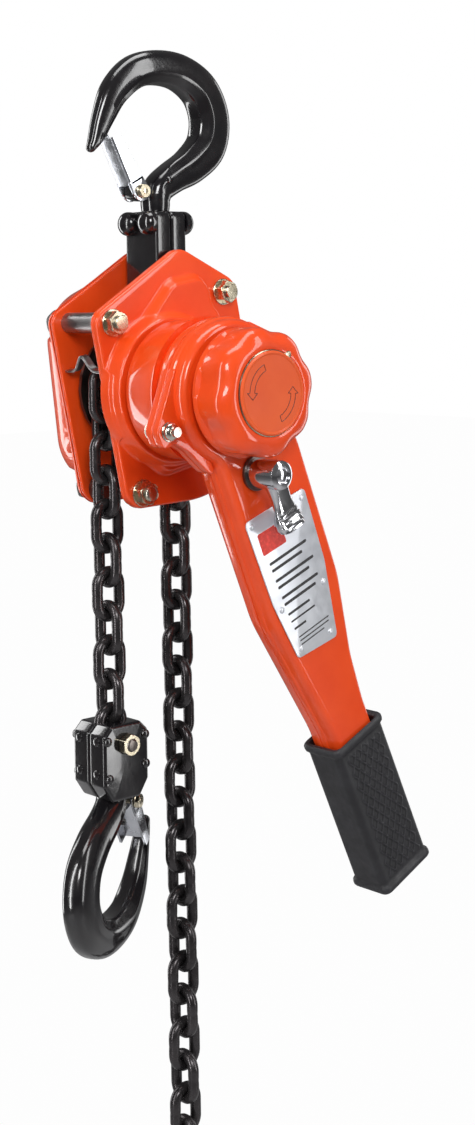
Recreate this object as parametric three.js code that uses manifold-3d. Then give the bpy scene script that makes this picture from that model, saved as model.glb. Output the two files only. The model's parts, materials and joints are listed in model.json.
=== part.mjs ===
// Ratchet lever hoist with a top hook, a load chain with a hook block, and a free chain end.
// Millimetres, +Z up. The origin is the saddle of the top hook. The drive axis runs along Y, front at -Y.
import * as THREE from "three";
import { mergeVertices } from "three/addons/utils/BufferGeometryUtils.js";
import Module from "manifold-3d";

const wasm = await Module();
wasm.setup();

// ---------- driving dimensions ----------
const GAP = 0.3; // clearance kept between touching pieces
const RUN = 0.35; // radial clearance of a turning fit
const BODY_TILT = THREE.MathUtils.degToRad(11.5); // the frame hangs with its top towards -X
const LEVER_ANGLE = THREE.MathUtils.degToRad(24); // the lever hangs this far from the vertical
const LOAD_HOOK_YAW = THREE.MathUtils.degToRad(28);

const WIRE = 6; // load chain: wire diameter
const PITCH = 18; // load chain: inside length of a link
const LINK_WIDTH = 20.4; // load chain: outside width of a link
const SHEAVE_R = 23.5; // radius of the chain's centre line on the load sheave
const POCKET_DEPTH = 1.2; // the flat links lie this much nearer the axis
const BEND_STEPS = 4; // straight steps round each end of a link
const LINK_STEP = Math.PI / 4; // turn of the four-pocket sheave for one link
const LOAD_LINKS = 10;
const SLACK_LINKS = 24;

const AXIS = { x: -13.2, z: -164.5 }; // drive axis
const PIN = { x: 0, z: -107, r: 6 }; // top pin, which carries the frame
const YOKE = { width: 21, depth: 27, top: -69.5, bottom: -120 };
const RIVET = { y: 8.4, z: -76, r: 3, headR: 6.6, headH: 7 };
const PLATE = { inner: 16, t: 2.7, coverT: 2.5 }; // side plates, then covers, outwards from the chain plane
const COVER_Y = PLATE.inner + PLATE.t + GAP; // back of each cover's flange
const BOLT = { r: 4, hexR: 7.3, hexH: 6 };
const BOLT_SPOTS = [[-26.5, 41.8], [51.1, 41.6], [-26.6, -49.3], [51.1, -49.3]]; // frame coordinates
const SHORT_SPOT = 2; // the bolt spot beside the load chain
const DOME = { r: 40, y: -31.5, wall: 2.3, shoulderY: -27 };
const GEAR = { y0: 22.5, y1: 29, y2: 31.5, y3: 37.5, spacing: 25, angle: THREE.MathUtils.degToRad(85) };
const GEAR_COVER = { y: 44, wall: 2.2, r: 31.5, pocketR: 9.4 };
const TEETH = { pinion: 12, wheel: 28, second: 10, load: 20 };
const LEVER = { rear: -57, seam: -68, front: -79, wall: 2.3, headR: 38, drumR: 36.5, drumRear: -33.2 };
const GRIP = { x0: -21.5, x1: 18.3, top: -203, bottom: -296, y0: -82, y1: -54.5 };
const SHIFT = { x: -7, z: -42.6, r: 4, rodR: 28 };
const KNOB = { r: 33, back: -82, front: -104, capR: 21.2, capFront: -105.6, boreR: 6.4 };
const SHAFT_R = 6;
const BLOCK = { width: 30, depth: 27, top: -339, bottom: -379, pinR: 3.5 };
const LOAD_SADDLE_Z = -441;
const HOOK_NECK_R = 8;

// ---------- materials ----------
function material(color, roughness, metalness) {
  return new THREE.MeshStandardMaterial({ color, roughness, metalness });
}
const orange = () => material(0xf2502e, 0.25, 0.05);
const blackPaint = () => material(0x15151a, 0.18, 0.1);
const blackSteel = () => material(0x2c2a2b, 0.35, 0.7);
const zinc = () => material(0xc9ccd2, 0.3, 0.9);
const brass = () => material(0xb89a5c, 0.35, 0.9);
const steel = () => material(0x8c8f94, 0.35, 0.9);
const rubber = () => material(0x3a3940, 0.75, 0);
const lining = () => material(0x5a4a3c, 0.85, 0);
const platedSign = () => material(0xd8dade, 0.35, 0.6);

// ---------- solids ----------
function solid(geometry) {
  const bare = geometry.index ? geometry.toNonIndexed() : geometry.clone();
  for (const name of Object.keys(bare.attributes)) {
    if (name !== "position") bare.deleteAttribute(name);
  }
  const merged = mergeVertices(bare, 1e-4);
  const mesh = new wasm.Mesh({
    numProp: 3,
    vertProperties: merged.attributes.position.array,
    triVerts: new Uint32Array(merged.index.array),
  });
  return new wasm.Manifold(mesh);
}

function join(...pieces) {
  return pieces.reduce((whole, piece) => whole.add(piece));
}

function cut(whole, ...tools) {
  return tools.reduce((rest, tool) => rest.subtract(tool), whole);
}

function asMesh(name, made, look) {
  const data = made.getMesh();
  const geometry = new THREE.BufferGeometry();
  geometry.setAttribute("position", new THREE.BufferAttribute(Float32Array.from(data.vertProperties), 3));
  geometry.setIndex(new THREE.BufferAttribute(Uint32Array.from(data.triVerts), 1));
  geometry.computeVertexNormals();
  const mesh = new THREE.Mesh(geometry, look);
  mesh.name = name;
  return mesh;
}

function box(x0, x1, y0, y1, z0, z1) {
  const geometry = new THREE.BoxGeometry(x1 - x0, y1 - y0, z1 - z0);
  return solid(geometry.translate((x0 + x1) / 2, (y0 + y1) / 2, (z0 + z1) / 2));
}

// A solid of revolution about the Y axis from [radius, y] pairs that start and end on the axis.
function turned(profile, segments = 28, x = 0, z = 0) {
  const rising = profile[0][1] < profile[profile.length - 1][1] ? profile : [...profile].reverse();
  const points = rising.map(([r, y]) => new THREE.Vector2(r, y));
  return solid(new THREE.LatheGeometry(points, segments).translate(x, 0, z));
}

function rodY(r, y0, y1, x = 0, z = 0, segments = 12) {
  const low = Math.min(y0, y1);
  const high = Math.max(y0, y1);
  return turned([[0, low], [r, low], [r, high], [0, high]], segments, x, z);
}

function ringY(inner, outer, y0, y1, x = 0, z = 0, segments = 18) {
  return cut(rodY(outer, y0, y1, x, z, segments), rodY(inner, y0 - 1, y1 + 1, x, z, segments));
}

function rodX(r, x0, x1, y, z, segments = 12) {
  const geometry = new THREE.CylinderGeometry(r, r, x1 - x0, segments).rotateZ(Math.PI / 2);
  return solid(geometry.translate((x0 + x1) / 2, y, z));
}

function rodZ(r, z0, z1, x = 0, y = 0, segments = 20) {
  const geometry = new THREE.CylinderGeometry(r, r, z1 - z0, segments).rotateX(Math.PI / 2);
  return solid(geometry.translate(x, y, (z0 + z1) / 2));
}

function hexY(r, y0, y1, x = 0, z = 0) {
  return rodY(r, y0, y1, x, z, 6);
}

// A flat outline in X and Z, drawn out along Y from y0 to y1.
function slab(shape, y0, y1, curveSegments = 3) {
  const depth = Math.abs(y1 - y0);
  const geometry = new THREE.ExtrudeGeometry(shape, { depth, bevelEnabled: false, curveSegments });
  return solid(geometry.rotateX(Math.PI / 2).translate(0, Math.max(y0, y1), 0));
}

// A closed outline through corners, each rounded by its own radius: [x, z, radius].
function rounded(corners) {
  const shape = new THREE.Shape();
  const count = corners.length;
  corners.forEach(([x, z, r], i) => {
    const here = new THREE.Vector2(x, z);
    const before = new THREE.Vector2(...corners[(i + count - 1) % count]).sub(here);
    const after = new THREE.Vector2(...corners[(i + 1) % count]).sub(here);
    const half = Math.acos(before.clone().normalize().dot(after.clone().normalize())) / 2;
    const reach = Math.min(r / Math.tan(half), before.length() * 0.49, after.length() * 0.49);
    const start = here.clone().addScaledVector(before.normalize(), reach);
    const end = here.clone().addScaledVector(after.normalize(), reach);
    if (i === 0) shape.moveTo(start.x, start.y);
    else shape.lineTo(start.x, start.y);
    shape.quadraticCurveTo(x, z, end.x, end.y);
  });
  shape.closePath();
  return shape;
}

// A bar whose oval section changes along a path: stations are [x, z, width, thickness].
function bar(stations, steps, sides = 12) {
  const path = new THREE.CatmullRomCurve3(stations.map(([x, z]) => new THREE.Vector3(x, 0, z)));
  const sizes = new THREE.CatmullRomCurve3(stations.map(([, , w, t]) => new THREE.Vector3(w, t, 0)));
  const positions = [];
  const index = [];
  for (let i = 0; i <= steps; i += 1) {
    const u = i / steps;
    const centre = path.getPoint(u);
    const along = path.getTangent(u);
    const size = sizes.getPoint(u);
    for (let k = 0; k < sides; k += 1) {
      const a = (2 * Math.PI * (k + 0.5)) / sides;
      const side = (Math.sign(Math.cos(a)) * Math.abs(Math.cos(a)) ** 0.8 * size.x) / 2;
      const out = (Math.sign(Math.sin(a)) * Math.abs(Math.sin(a)) ** 0.8 * size.y) / 2;
      positions.push(centre.x - along.z * side, out, centre.z + along.x * side);
    }
  }
  const last = steps * sides;
  for (let i = 0; i < steps; i += 1) {
    for (let k = 0; k < sides; k += 1) {
      const a = i * sides + k;
      const b = i * sides + ((k + 1) % sides);
      index.push(a, a + sides, b, b, a + sides, b + sides);
    }
  }
  for (let k = 1; k < sides - 1; k += 1) {
    index.push(0, k, k + 1, last, last + k + 1, last + k);
  }
  const geometry = new THREE.BufferGeometry();
  geometry.setAttribute("position", new THREE.Float32BufferAttribute(positions, 3));
  geometry.setIndex(index);
  return solid(geometry);
}

// ---------- toothed wheels ----------
// An involute spur gear about the Y axis with thinned teeth; one tooth points along the angle `phase`.
function gearOutline(teeth, module, phase) {
  const pitchR = (teeth * module) / 2;
  const baseR = pitchR * Math.cos(THREE.MathUtils.degToRad(20));
  const tipR = pitchR + 0.85 * module;
  const rootR = pitchR - 1.2 * module;
  const roll = (r) => Math.sqrt(Math.max((r / baseR) ** 2 - 1, 0));
  const spread = (r) => roll(r) - Math.atan(roll(r));
  const halfAtPitch = Math.PI / (2 * teeth) - 0.09 * (module / pitchR);
  const half = (r) => halfAtPitch + spread(pitchR) - spread(Math.max(r, baseR));
  const radii = [rootR, tipR];
  const shape = new THREE.Shape();
  for (let i = 0; i < teeth; i += 1) {
    const centre = phase + (2 * Math.PI * i) / teeth;
    const flank = radii.map((r) => [r, half(r)]);
    const points = [
      ...flank.map(([r, h]) => [r, centre - h]),
      ...[...flank].reverse().map(([r, h]) => [r, centre + h]),
    ];
    points.forEach(([r, a], k) => {
      const x = r * Math.cos(a);
      const z = r * Math.sin(a);
      if (i === 0 && k === 0) shape.moveTo(x, z);
      else shape.lineTo(x, z);
    });
  }
  shape.closePath();
  return shape;
}

// A ratchet wheel or a notched wheel: teeth with a share of each pitch standing at the tip radius.
function notchedOutline(teeth, tipR, rootR, phase, tipFrom, tipTo) {
  const shape = new THREE.Shape();
  const pitch = (2 * Math.PI) / teeth;
  for (let i = 0; i < teeth; i += 1) {
    const start = phase + i * pitch;
    const points = [[rootR, 0], [rootR, 0.12], [tipR, tipFrom], [tipR, tipTo]];
    points.forEach(([r, share], k) => {
      const a = start + share * pitch;
      if (i === 0 && k === 0) shape.moveTo(r * Math.cos(a), r * Math.sin(a));
      else shape.lineTo(r * Math.cos(a), r * Math.sin(a));
    });
  }
  shape.closePath();
  return shape;
}

// ---------- chain ----------
// One link about its centre, long along Z and wide along X; the inside half lengths may differ.
function linkGeometry(above, below, sides = 6) {
  const bend = (LINK_WIDTH - WIRE) / 2;
  const up = above + WIRE / 2 - bend;
  const down = below + WIRE / 2 - bend;
  const points = [];
  for (const [start, shift] of [[0, up], [Math.PI, -down]]) {
    for (let i = 0; i <= BEND_STEPS; i += 1) {
      const a = start + (Math.PI * i) / BEND_STEPS;
      points.push(new THREE.Vector3(bend * Math.cos(a), 0, shift + bend * Math.sin(a)));
    }
  }
  return closedWire(points, WIRE / 2, sides);
}

// A closed loop of round wire through points that lie in the X-Z plane.
function closedWire(points, r, sides) {
  const positions = [];
  const index = [];
  const count = points.length;
  points.forEach((point, i) => {
    const before = points[(i + count - 1) % count];
    const after = points[(i + 1) % count];
    const along = after.clone().sub(before).normalize();
    for (let k = 0; k < sides; k += 1) {
      const a = (2 * Math.PI * k) / sides;
      const side = r * Math.cos(a);
      positions.push(point.x - along.z * side, r * Math.sin(a), point.z + along.x * side);
    }
  });
  for (let i = 0; i < count; i += 1) {
    for (let k = 0; k < sides; k += 1) {
      const a = i * sides + k;
      const b = i * sides + ((k + 1) % sides);
      const c = ((i + 1) % count) * sides + k;
      const d = ((i + 1) % count) * sides + ((k + 1) % sides);
      index.push(a, c, b, b, c, d);
    }
  }
  const geometry = new THREE.BufferGeometry();
  geometry.setAttribute("position", new THREE.Float32BufferAttribute(positions, 3));
  geometry.setIndex(index);
  return geometry;
}

// A link standing on the chain line at x, turned a quarter about Z when it lies flat on the sheave.
function linkAt(x, z, flat, above, below) {
  const geometry = linkGeometry(above, below);
  if (flat) geometry.rotateZ(Math.PI / 2);
  return geometry.translate(x, 0, z);
}

// ---------- hooks and latches ----------
const HOOK_STATIONS = [
  [-43.5, -37, 5, 6],
  [-40.3, -31, 9, 8.5],
  [-35, -19, 13.5, 11],
  [-27.5, -5.5, 16.5, 14],
  [-14, 5.5, 18.5, 16],
  [2, 9.4, 19.5, 17],
  [19, 7.5, 21, 18],
  [34, -1.5, 23.5, 18],
  [41.3, -16.5, 26, 18],
  [38.5, -32, 26, 18],
  [26.5, -43.5, 22, 18],
  [12.5, -50.5, 18, 18],
  [3, -56.5, 17, 17],
];
const LATCH = { x: -13.5, lean: THREE.MathUtils.degToRad(-26.6), tipZ: -27.7, boltR: 2 };
const SADDLE_FLAT = { x0: -4, x1: 8, depth: 6 };

function hookSolid({ neckEnd, grooveR, grooveEnd, collarR, collarEnd, latchZ }) {
  const stations = [...HOOK_STATIONS, [0, -61, 2 * HOOK_NECK_R, 2 * HOOK_NECK_R]];
  const bow = cut(bar(stations, 20, 8), box(-20, 20, -20, 20, neckEnd - 20, neckEnd));
  const neck = rodZ(HOOK_NECK_R, neckEnd, -58);
  const groove = rodZ(grooveR, grooveEnd - 0.5, neckEnd + 0.5);
  const collar = rodZ(collarR, collarEnd, grooveEnd);
  const lug = join(
    rodY(5, -3.6, 3.6, LATCH.x, latchZ),
    box(LATCH.x, 0, -3.6, 3.6, latchZ - 4.5, latchZ + 4.5),
  );
  const flat = box(SADDLE_FLAT.x0, SADDLE_FLAT.x1, -12, 12, -SADDLE_FLAT.depth, 0);
  const hole = rodY(LATCH.boltR + GAP, -8, 8, LATCH.x, latchZ, 12);
  return cut(join(bow, neck, groove, collar, lug), flat, hole);
}

// The sheet-metal safety latch about its own pivot, with its length along +Z.
function latchSolid(length) {
  const ear = (y0, y1) =>
    join(
      rodY(5.4, y0, y1, 0, 0, 14),
      slab(rounded([[-6, -1, 1], [4.6, -1, 1], [1.5, length - 1, 1], [-6, length - 1, 1]]), y0, y1, 2),
    );
  const web = box(-6, -4.2, -8, 8, 6, length);
  const made = join(ear(-8, -6.4), ear(6.4, 8), web);
  return cut(made, rodY(LATCH.boltR + GAP, -9, 9, 0, 0, 12));
}

function latchBolt() {
  return join(rodY(LATCH.boltR, -11, 10, 0, 0, 12), hexY(4.2, -11.2, -8.4), rodY(3.6, 8.4, 10.6, 0, 0, 12));
}

function latchSpring() {
  const coil = ringY(2.7, 3.9, 4, 6, 0, 0, 12);
  const leg = box(-3.8, -2.8, 4.6, 5.6, 0, 15);
  return cut(join(coil, leg), rodY(2.7, 3, 7, 0, 0, 12));
}

function placeLatch(parent, prefix, { latchZ }) {
  const pivot = new THREE.Group();
  const length = (LATCH.tipZ - latchZ) / Math.cos(LATCH.lean);
  pivot.position.set(LATCH.x, 0, latchZ);
  pivot.rotation.y = LATCH.lean;
  pivot.add(asMesh(`${prefix}_latch`, latchSolid(length), zinc()));
  pivot.add(asMesh(`${prefix}_latch_bolt`, latchBolt(), brass()));
  pivot.add(asMesh(`${prefix}_latch_spring`, latchSpring(), steel()));
  parent.add(pivot);
}

// ---------- top hook and yoke ----------
const TOP_SHANK = {
  neckEnd: -69.2,
  grooveR: 4.8,
  grooveEnd: -82,
  collarR: 7.4,
  collarEnd: -88,
  latchZ: -59,
};
const LOAD_SHANK = { neckEnd: -61.6, grooveR: 5, grooveEnd: -70, collarR: 7.6, collarEnd: -75, latchZ: -56 };

function yokeHalf(side) {
  const near = (side * GAP) / 2;
  const far = (side * YOKE.width) / 2;
  const [x0, x1] = [near, far].sort((a, b) => a - b);
  const block = box(x0, x1, -YOKE.depth / 2, YOKE.depth / 2, YOKE.bottom, YOKE.top);
  const shankBore = rodZ(TOP_SHANK.grooveR + 0.25, TOP_SHANK.grooveEnd, YOKE.top + 1);
  const collarRoom = rodZ(TOP_SHANK.collarR + 0.4, TOP_SHANK.collarEnd - 0.4, TOP_SHANK.grooveEnd + 0.4);
  const pinHole = rodY(PIN.r + GAP, -20, 20, PIN.x, PIN.z);
  const rivetHoles = [-1, 1].map((s) => rodX(RIVET.r + GAP, -20, 20, s * RIVET.y, RIVET.z));
  return cut(block, shankBore, collarRoom, pinHole, ...rivetHoles);
}

function yokeRivet(side) {
  const y = side * RIVET.y;
  const start = YOKE.width / 2 + GAP;
  const end = start + RIVET.headH;
  const head = (s) => {
    const r = RIVET.headR;
    const profile = [
      [0, start], [r, start], [r, start + 3], [0.75 * r, end - 1.4], [0.4 * r, end - 0.3], [0, end],
    ];
    const points = profile.map(([out, along]) => new THREE.Vector2(out, along));
    const geometry = new THREE.LatheGeometry(points, 14).rotateZ((-s * Math.PI) / 2);
    return solid(geometry.translate(0, y, RIVET.z));
  };
  return join(rodX(RIVET.r, -start - 1, start + 1, y, RIVET.z), head(1), head(-1));
}

function addTop(root) {
  root.add(asMesh("top_hook", hookSolid(TOP_SHANK), blackPaint()));
  placeLatch(root, "top", TOP_SHANK);
  root.add(asMesh("yoke_half_left", yokeHalf(-1), blackPaint()));
  root.add(asMesh("yoke_half_right", yokeHalf(1), blackPaint()));
  root.add(asMesh("yoke_rivet_front", yokeRivet(-1), blackPaint()));
  root.add(asMesh("yoke_rivet_rear", yokeRivet(1), blackPaint()));
  const pinEnd = PLATE.inner + PLATE.t - 0.2;
  root.add(asMesh("top_pin", rodY(PIN.r, -pinEnd, pinEnd, PIN.x, PIN.z), steel()));
}

// ---------- frame: side plates, covers, stay bolts ----------
const PLATE_CORNERS = [
  [-37, 47.5, 9],
  [-37, -50, 9],
  [-31, -57, 9],
  [13, -64.5, 60],
  [57, -57, 9],
  [61.5, -50, 9],
  [61.5, 46, 10],
  [27, 71.5, 12],
];
const SHOULDER_CORNERS = [
  [-31, 22, 12],
  [-31, -24, 12],
  [-12, -45, 12],
  [34, -45, 12],
  [47, -26, 12],
  [46, 26, 12],
  [37, 55, 10],
  [14, 56, 10],
];
const PAWL = { r: 31.5, pinR: 2.2, bossR: 4.6, y0: -23.5, y1: -26.5, angles: [150, 330] };
const BRAKE = { hubR: 9, flangeR: 19, ratchetTip: 22.5, ratchetRoot: 19.8 };

// Corners moved inwards by d, for a cavity that keeps a wall of that thickness.
function inset(corners, d) {
  const count = corners.length;
  const area = corners.reduce((sum, [x, z], i) => {
    const [nx, nz] = corners[(i + 1) % count];
    return sum + x * nz - nx * z;
  }, 0);
  const turn = Math.sign(area);
  const edges = corners.map(([x, z], i) => {
    const [nx, nz] = corners[(i + 1) % count];
    const along = new THREE.Vector2(nx - x, nz - z).normalize();
    const inward = new THREE.Vector2(-along.y, along.x).multiplyScalar(turn * d);
    return { point: new THREE.Vector2(x, z).add(inward), along };
  });
  return corners.map(([, , r], i) => {
    const a = edges[(i + count - 1) % count];
    const b = edges[i];
    const cross = a.along.x * b.along.y - a.along.y * b.along.x;
    const gap = b.point.clone().sub(a.point);
    const t = (gap.x * b.along.y - gap.y * b.along.x) / cross;
    const at = a.point.clone().addScaledVector(a.along, t);
    return [at.x, at.y, Math.max(r - d, 0.5)];
  });
}

// A point given about the drive axis in the part's frame, turned into the tilted frame's coordinates.
function toFrame(x, z) {
  const c = Math.cos(BODY_TILT);
  const s = Math.sin(BODY_TILT);
  return [x * c + z * s, -x * s + z * c];
}

function polar(r, degrees) {
  const a = THREE.MathUtils.degToRad(degrees);
  return [r * Math.cos(a), r * Math.sin(a)];
}

const BEARING = { inner: 12.35, outer: 15.5 };
const GEAR_SPOTS = [0, Math.PI].map((turn) => {
  const a = GEAR.angle + turn;
  return [GEAR.spacing * Math.cos(a), GEAR.spacing * Math.sin(a)];
});

function boltHoles(y0, y1) {
  return BOLT_SPOTS.map(([x, z]) => rodY(BOLT.r + GAP, y0, y1, x, z, 12));
}

function frontSidePlate() {
  const plate = slab(rounded(PLATE_CORNERS), -PLATE.inner, -PLATE.inner - PLATE.t);
  const pinHole = rodY(PIN.r + GAP, -30, 0, ...toFrame(PIN.x - AXIS.x, PIN.z - AXIS.z));
  const bearingHole = rodY(BEARING.outer + GAP, -30, 0, 0, 0, 24);
  const pawlPins = PAWL.angles.map((angle) => {
    const [x, z] = polar(PAWL.r, angle);
    return rodY(PAWL.pinR, -PLATE.inner - 1, PAWL.y1 - 1, x, z);
  });
  return join(cut(plate, pinHole, bearingHole, ...boltHoles(-30, 0)), ...pawlPins);
}

function rearSidePlate() {
  const plate = slab(rounded(PLATE_CORNERS), PLATE.inner, PLATE.inner + PLATE.t);
  const pinHole = rodY(PIN.r + GAP, 0, 30, ...toFrame(PIN.x - AXIS.x, PIN.z - AXIS.z));
  const bearingHole = rodY(BEARING.outer + GAP, 0, 30, 0, 0, 24);
  const gearHoles = GEAR_SPOTS.map(([x, z]) => rodY(4 + RUN, 0, 30, x, z, 12));
  return cut(plate, pinHole, bearingHole, ...gearHoles, ...boltHoles(0, 30));
}

function brakeCover() {
  const flange = slab(rounded(PLATE_CORNERS), -COVER_Y, -COVER_Y - PLATE.coverT);
  const shoulder = slab(rounded(SHOULDER_CORNERS), -COVER_Y, DOME.shoulderY);
  const { r, y, wall } = DOME;
  const dome = turned([[0, -COVER_Y], [r + 1, -COVER_Y], [r, y + 3], [r - 3, y], [0, y]], 28);
  const shoulderRoom = slab(rounded(inset(SHOULDER_CORNERS, wall)), 0, DOME.shoulderY + wall);
  const domeRoom = rodY(r - wall, 0, y + wall, 0, 0, 28);
  const hubHole = rodY(20.3, -60, 0, 0, 0, 24);
  return cut(join(flange, shoulder, dome), shoulderRoom, domeRoom, hubHole, ...boltHoles(-60, 0));
}

function gearCoverOutline(r) {
  const half = GEAR.spacing + r;
  const corners = [[-r, -half], [r, -half], [r, half], [-r, half]];
  const c = Math.cos(GEAR.angle - Math.PI / 2);
  const s = Math.sin(GEAR.angle - Math.PI / 2);
  return rounded(corners.map(([x, z]) => [x * c - z * s, x * s + z * c, r * 0.98]));
}

function gearCover() {
  const flange = slab(rounded(PLATE_CORNERS), COVER_Y, COVER_Y + PLATE.coverT);
  const { y, wall, r, pocketR } = GEAR_COVER;
  const pockets = (grow, y0) => BOLT_SPOTS.map(([x, z]) => rodY(pocketR + grow, y0, 60, x, z, 16));
  const dome = cut(slab(gearCoverOutline(r), COVER_Y, y, 6), ...pockets(0, COVER_Y + PLATE.coverT));
  const room = cut(slab(gearCoverOutline(r - wall), 0, y - wall, 6), ...pockets(wall, -1));
  const shell = cut(join(flange, dome), room, ...boltHoles(0, 60));
  const boss = ([x, z]) => ringY(4 + RUN, 6.6, GEAR.y3 + 0.6, y - 1, x, z, 12);
  return join(shell, ...[...GEAR_SPOTS, [0, 0]].map(boss));
}

function stayBolt([x, z]) {
  const shank = rodY(BOLT.r, -30, 22, x, z, 12);
  const stay = rodY(BOLT.r + 1.5, -PLATE.inner + GAP, PLATE.inner - GAP, x, z, 12);
  const head = hexY(BOLT.hexR, 21.8, 21.8 + BOLT.hexH, x, z);
  return join(shank, stay, head);
}

// Beside the load chain there is no room for a stay, so each pair of plates has a short bolt there.
function shortBolt([x, z], side) {
  const headIn = PLATE.inner - 3.6;
  const shank = rodY(BOLT.r, side * headIn, side * 28, x, z, 12);
  const head = rodY(BOLT.hexR, side * headIn, side * (PLATE.inner - GAP), x, z, 12);
  const nut = hexY(BOLT.hexR, side * 21.8, side * (21.8 + BOLT.hexH), x, z);
  return side < 0 ? join(shank, head) : join(shank, head, nut);
}

function stayNut([x, z]) {
  const back = -COVER_Y - PLATE.coverT - GAP;
  return cut(hexY(BOLT.hexR, back - BOLT.hexH, back, x, z), rodY(BOLT.r + GAP, -40, 0, x, z, 12));
}

// The sheet strip beside the incoming chain, with a hump across its middle.
function chainGuide() {
  const half = PLATE.inner - GAP;
  const rise = (y) => 8 * Math.exp(-((y / 5) ** 2));
  const shape = new THREE.Shape();
  const steps = 14;
  const at = (i) => -half + (2 * half * i) / steps;
  shape.moveTo(at(0), rise(at(0)));
  for (let i = 1; i <= steps; i += 1) shape.lineTo(at(i), rise(at(i)));
  for (let i = steps; i >= 0; i -= 1) shape.lineTo(at(i), rise(at(i)) - 1.6);
  shape.closePath();
  const geometry = new THREE.ExtrudeGeometry(shape, { depth: 4.2, bevelEnabled: false });
  geometry.rotateX(Math.PI / 2).rotateZ(Math.PI / 2).translate(-34.8, 0, 18);
  return solid(geometry);
}

function addFrame(frame) {
  frame.add(asMesh("front_side_plate", frontSidePlate(), orange()));
  frame.add(asMesh("rear_side_plate", rearSidePlate(), orange()));
  frame.add(asMesh("brake_cover", brakeCover(), orange()));
  frame.add(asMesh("gear_cover", gearCover(), orange()));
  BOLT_SPOTS.forEach((spot, i) => {
    const made = i === SHORT_SPOT ? shortBolt(spot, -1) : stayBolt(spot);
    frame.add(asMesh(i === SHORT_SPOT ? "short_bolt_front" : `stay_bolt_${i + 1}`, made, blackSteel()));
    frame.add(asMesh(`stay_nut_${i + 1}`, stayNut(spot), brass()));
  });
  frame.add(asMesh("short_bolt_rear", shortBolt(BOLT_SPOTS[SHORT_SPOT], 1), blackSteel()));
  frame.add(asMesh("chain_guide", chainGuide(), steel()));
  const [near, far] = [PLATE.inner, PLATE.inner + PLATE.t];
  frame.add(asMesh("sheave_bearing_front", ringY(BEARING.inner, BEARING.outer, -far, -near), steel()));
  frame.add(asMesh("sheave_bearing_rear", ringY(BEARING.inner, BEARING.outer, near, far), steel()));
}

// ---------- load sheave and gears ----------
const SHEAVE = {
  journalR: 12,
  bodyR: 18.8,
  flangeR: 31,
  groove: 3.9,
  flangeIn: 11,
  flangeOut: 13,
  neckR: 10,
};
const SHEAVE_TOOTH = { r: 24.5, half: 1.8 };

// The tooth between two flat links, on one side of the groove.
function sheaveTooth(turn, side) {
  const { r, half } = SHEAVE_TOOTH;
  const inner = SHEAVE.bodyR - 1;
  const geometry = new THREE.BoxGeometry(r - inner, SHEAVE.flangeIn - SHEAVE.groove, 2 * half);
  const y = (side * (SHEAVE.flangeIn + SHEAVE.groove)) / 2;
  return solid(geometry.translate(-(r + inner) / 2, y, 0).rotateY(turn));
}

function loadSheave() {
  const { journalR, bodyR, flangeR, groove, flangeIn, flangeOut, neckR } = SHEAVE;
  const body = turned([
    [0, -18.5], [journalR, -18.5], [journalR, -flangeOut], [flangeR, -flangeOut], [flangeR, -flangeIn],
    [bodyR, -flangeIn], [bodyR, -groove], [12.6, -groove], [12.6, groove], [bodyR, groove],
    [bodyR, flangeIn], [flangeR, flangeIn], [flangeR, flangeOut], [journalR, flangeOut],
    [journalR, 18.5], [neckR, 18.9], [neckR, GEAR.y1], [0, GEAR.y1],
  ], 24);
  const turns = [0, 2, 4, 6].map((k) => k * LINK_STEP);
  const teeth = turns.flatMap((turn) => [-1, 1].map((side) => sheaveTooth(turn, side)));
  return cut(join(body, ...teeth), rodY(SHAFT_R + RUN, -30, 40));
}

const MODULE_FAST = (2 * GEAR.spacing) / (TEETH.pinion + TEETH.wheel);
const MODULE_SLOW = (2 * GEAR.spacing) / (TEETH.second + TEETH.load);

// One disc gear: a wheel driven by the pinion and a second pinion that drives the load gear.
function discGear(angle) {
  const meshPhase = (teeth) => angle + Math.PI + Math.PI / teeth;
  const fast = gearOutline(TEETH.wheel, MODULE_FAST, meshPhase(TEETH.wheel));
  const slow = gearOutline(TEETH.second, MODULE_SLOW, meshPhase(TEETH.second));
  const wheel = slab(fast, GEAR.y2, GEAR.y3);
  const second = slab(slow, GEAR.y0 + 0.2, GEAR.y2 + 0.1);
  const shaft = rodY(4, PLATE.inner + 0.2, GEAR_COVER.y - GEAR_COVER.wall - 0.4, 0, 0, 12);
  return join(wheel, second, shaft);
}

function loadGear() {
  const outline = gearOutline(TEETH.load, MODULE_SLOW, GEAR.angle);
  return cut(slab(outline, GEAR.y0, GEAR.y1 - 0.3), rodY(SHEAVE.neckR + GAP, 10, 40, 0, 0, 24));
}

function driveShaft() {
  const pinion = slab(gearOutline(TEETH.pinion, MODULE_FAST, GEAR.angle), GEAR.y2, GEAR.y3);
  const shaft = rodY(SHAFT_R, -100, GEAR.y2 + 0.5, 0, 0, 16);
  const stub = rodY(4, GEAR.y2, GEAR_COVER.y - GEAR_COVER.wall - 0.4);
  return join(pinion, shaft, stub);
}

function addGears(frame) {
  frame.add(asMesh("load_gear", loadGear(), steel()));
  frame.add(asMesh("drive_shaft", driveShaft(), steel()));
  ["disc_gear_upper", "disc_gear_lower"].forEach((name, i) => {
    const mesh = asMesh(name, discGear(GEAR.angle + i * Math.PI), steel());
    mesh.position.set(GEAR_SPOTS[i][0], 0, GEAR_SPOTS[i][1]);
    frame.add(mesh);
  });
}

// ---------- load brake ----------
function brakePawl(degrees) {
  const boss = rodY(PAWL.bossR, PAWL.y1, PAWL.y0, ...polar(PAWL.r, degrees), 14);
  const nose = new THREE.Shape();
  const spots = [[28, 2], [22.9, 27], [27, 29], [35, 5]].map(([r, a]) => polar(r, degrees + a));
  nose.moveTo(...spots[0]);
  spots.slice(1).forEach((spot) => nose.lineTo(...spot));
  nose.closePath();
  const hole = rodY(PAWL.pinR + GAP, -40, 0, ...polar(PAWL.r, degrees), 16);
  return cut(join(boss, slab(nose, PAWL.y0, PAWL.y1)), hole);
}

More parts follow.
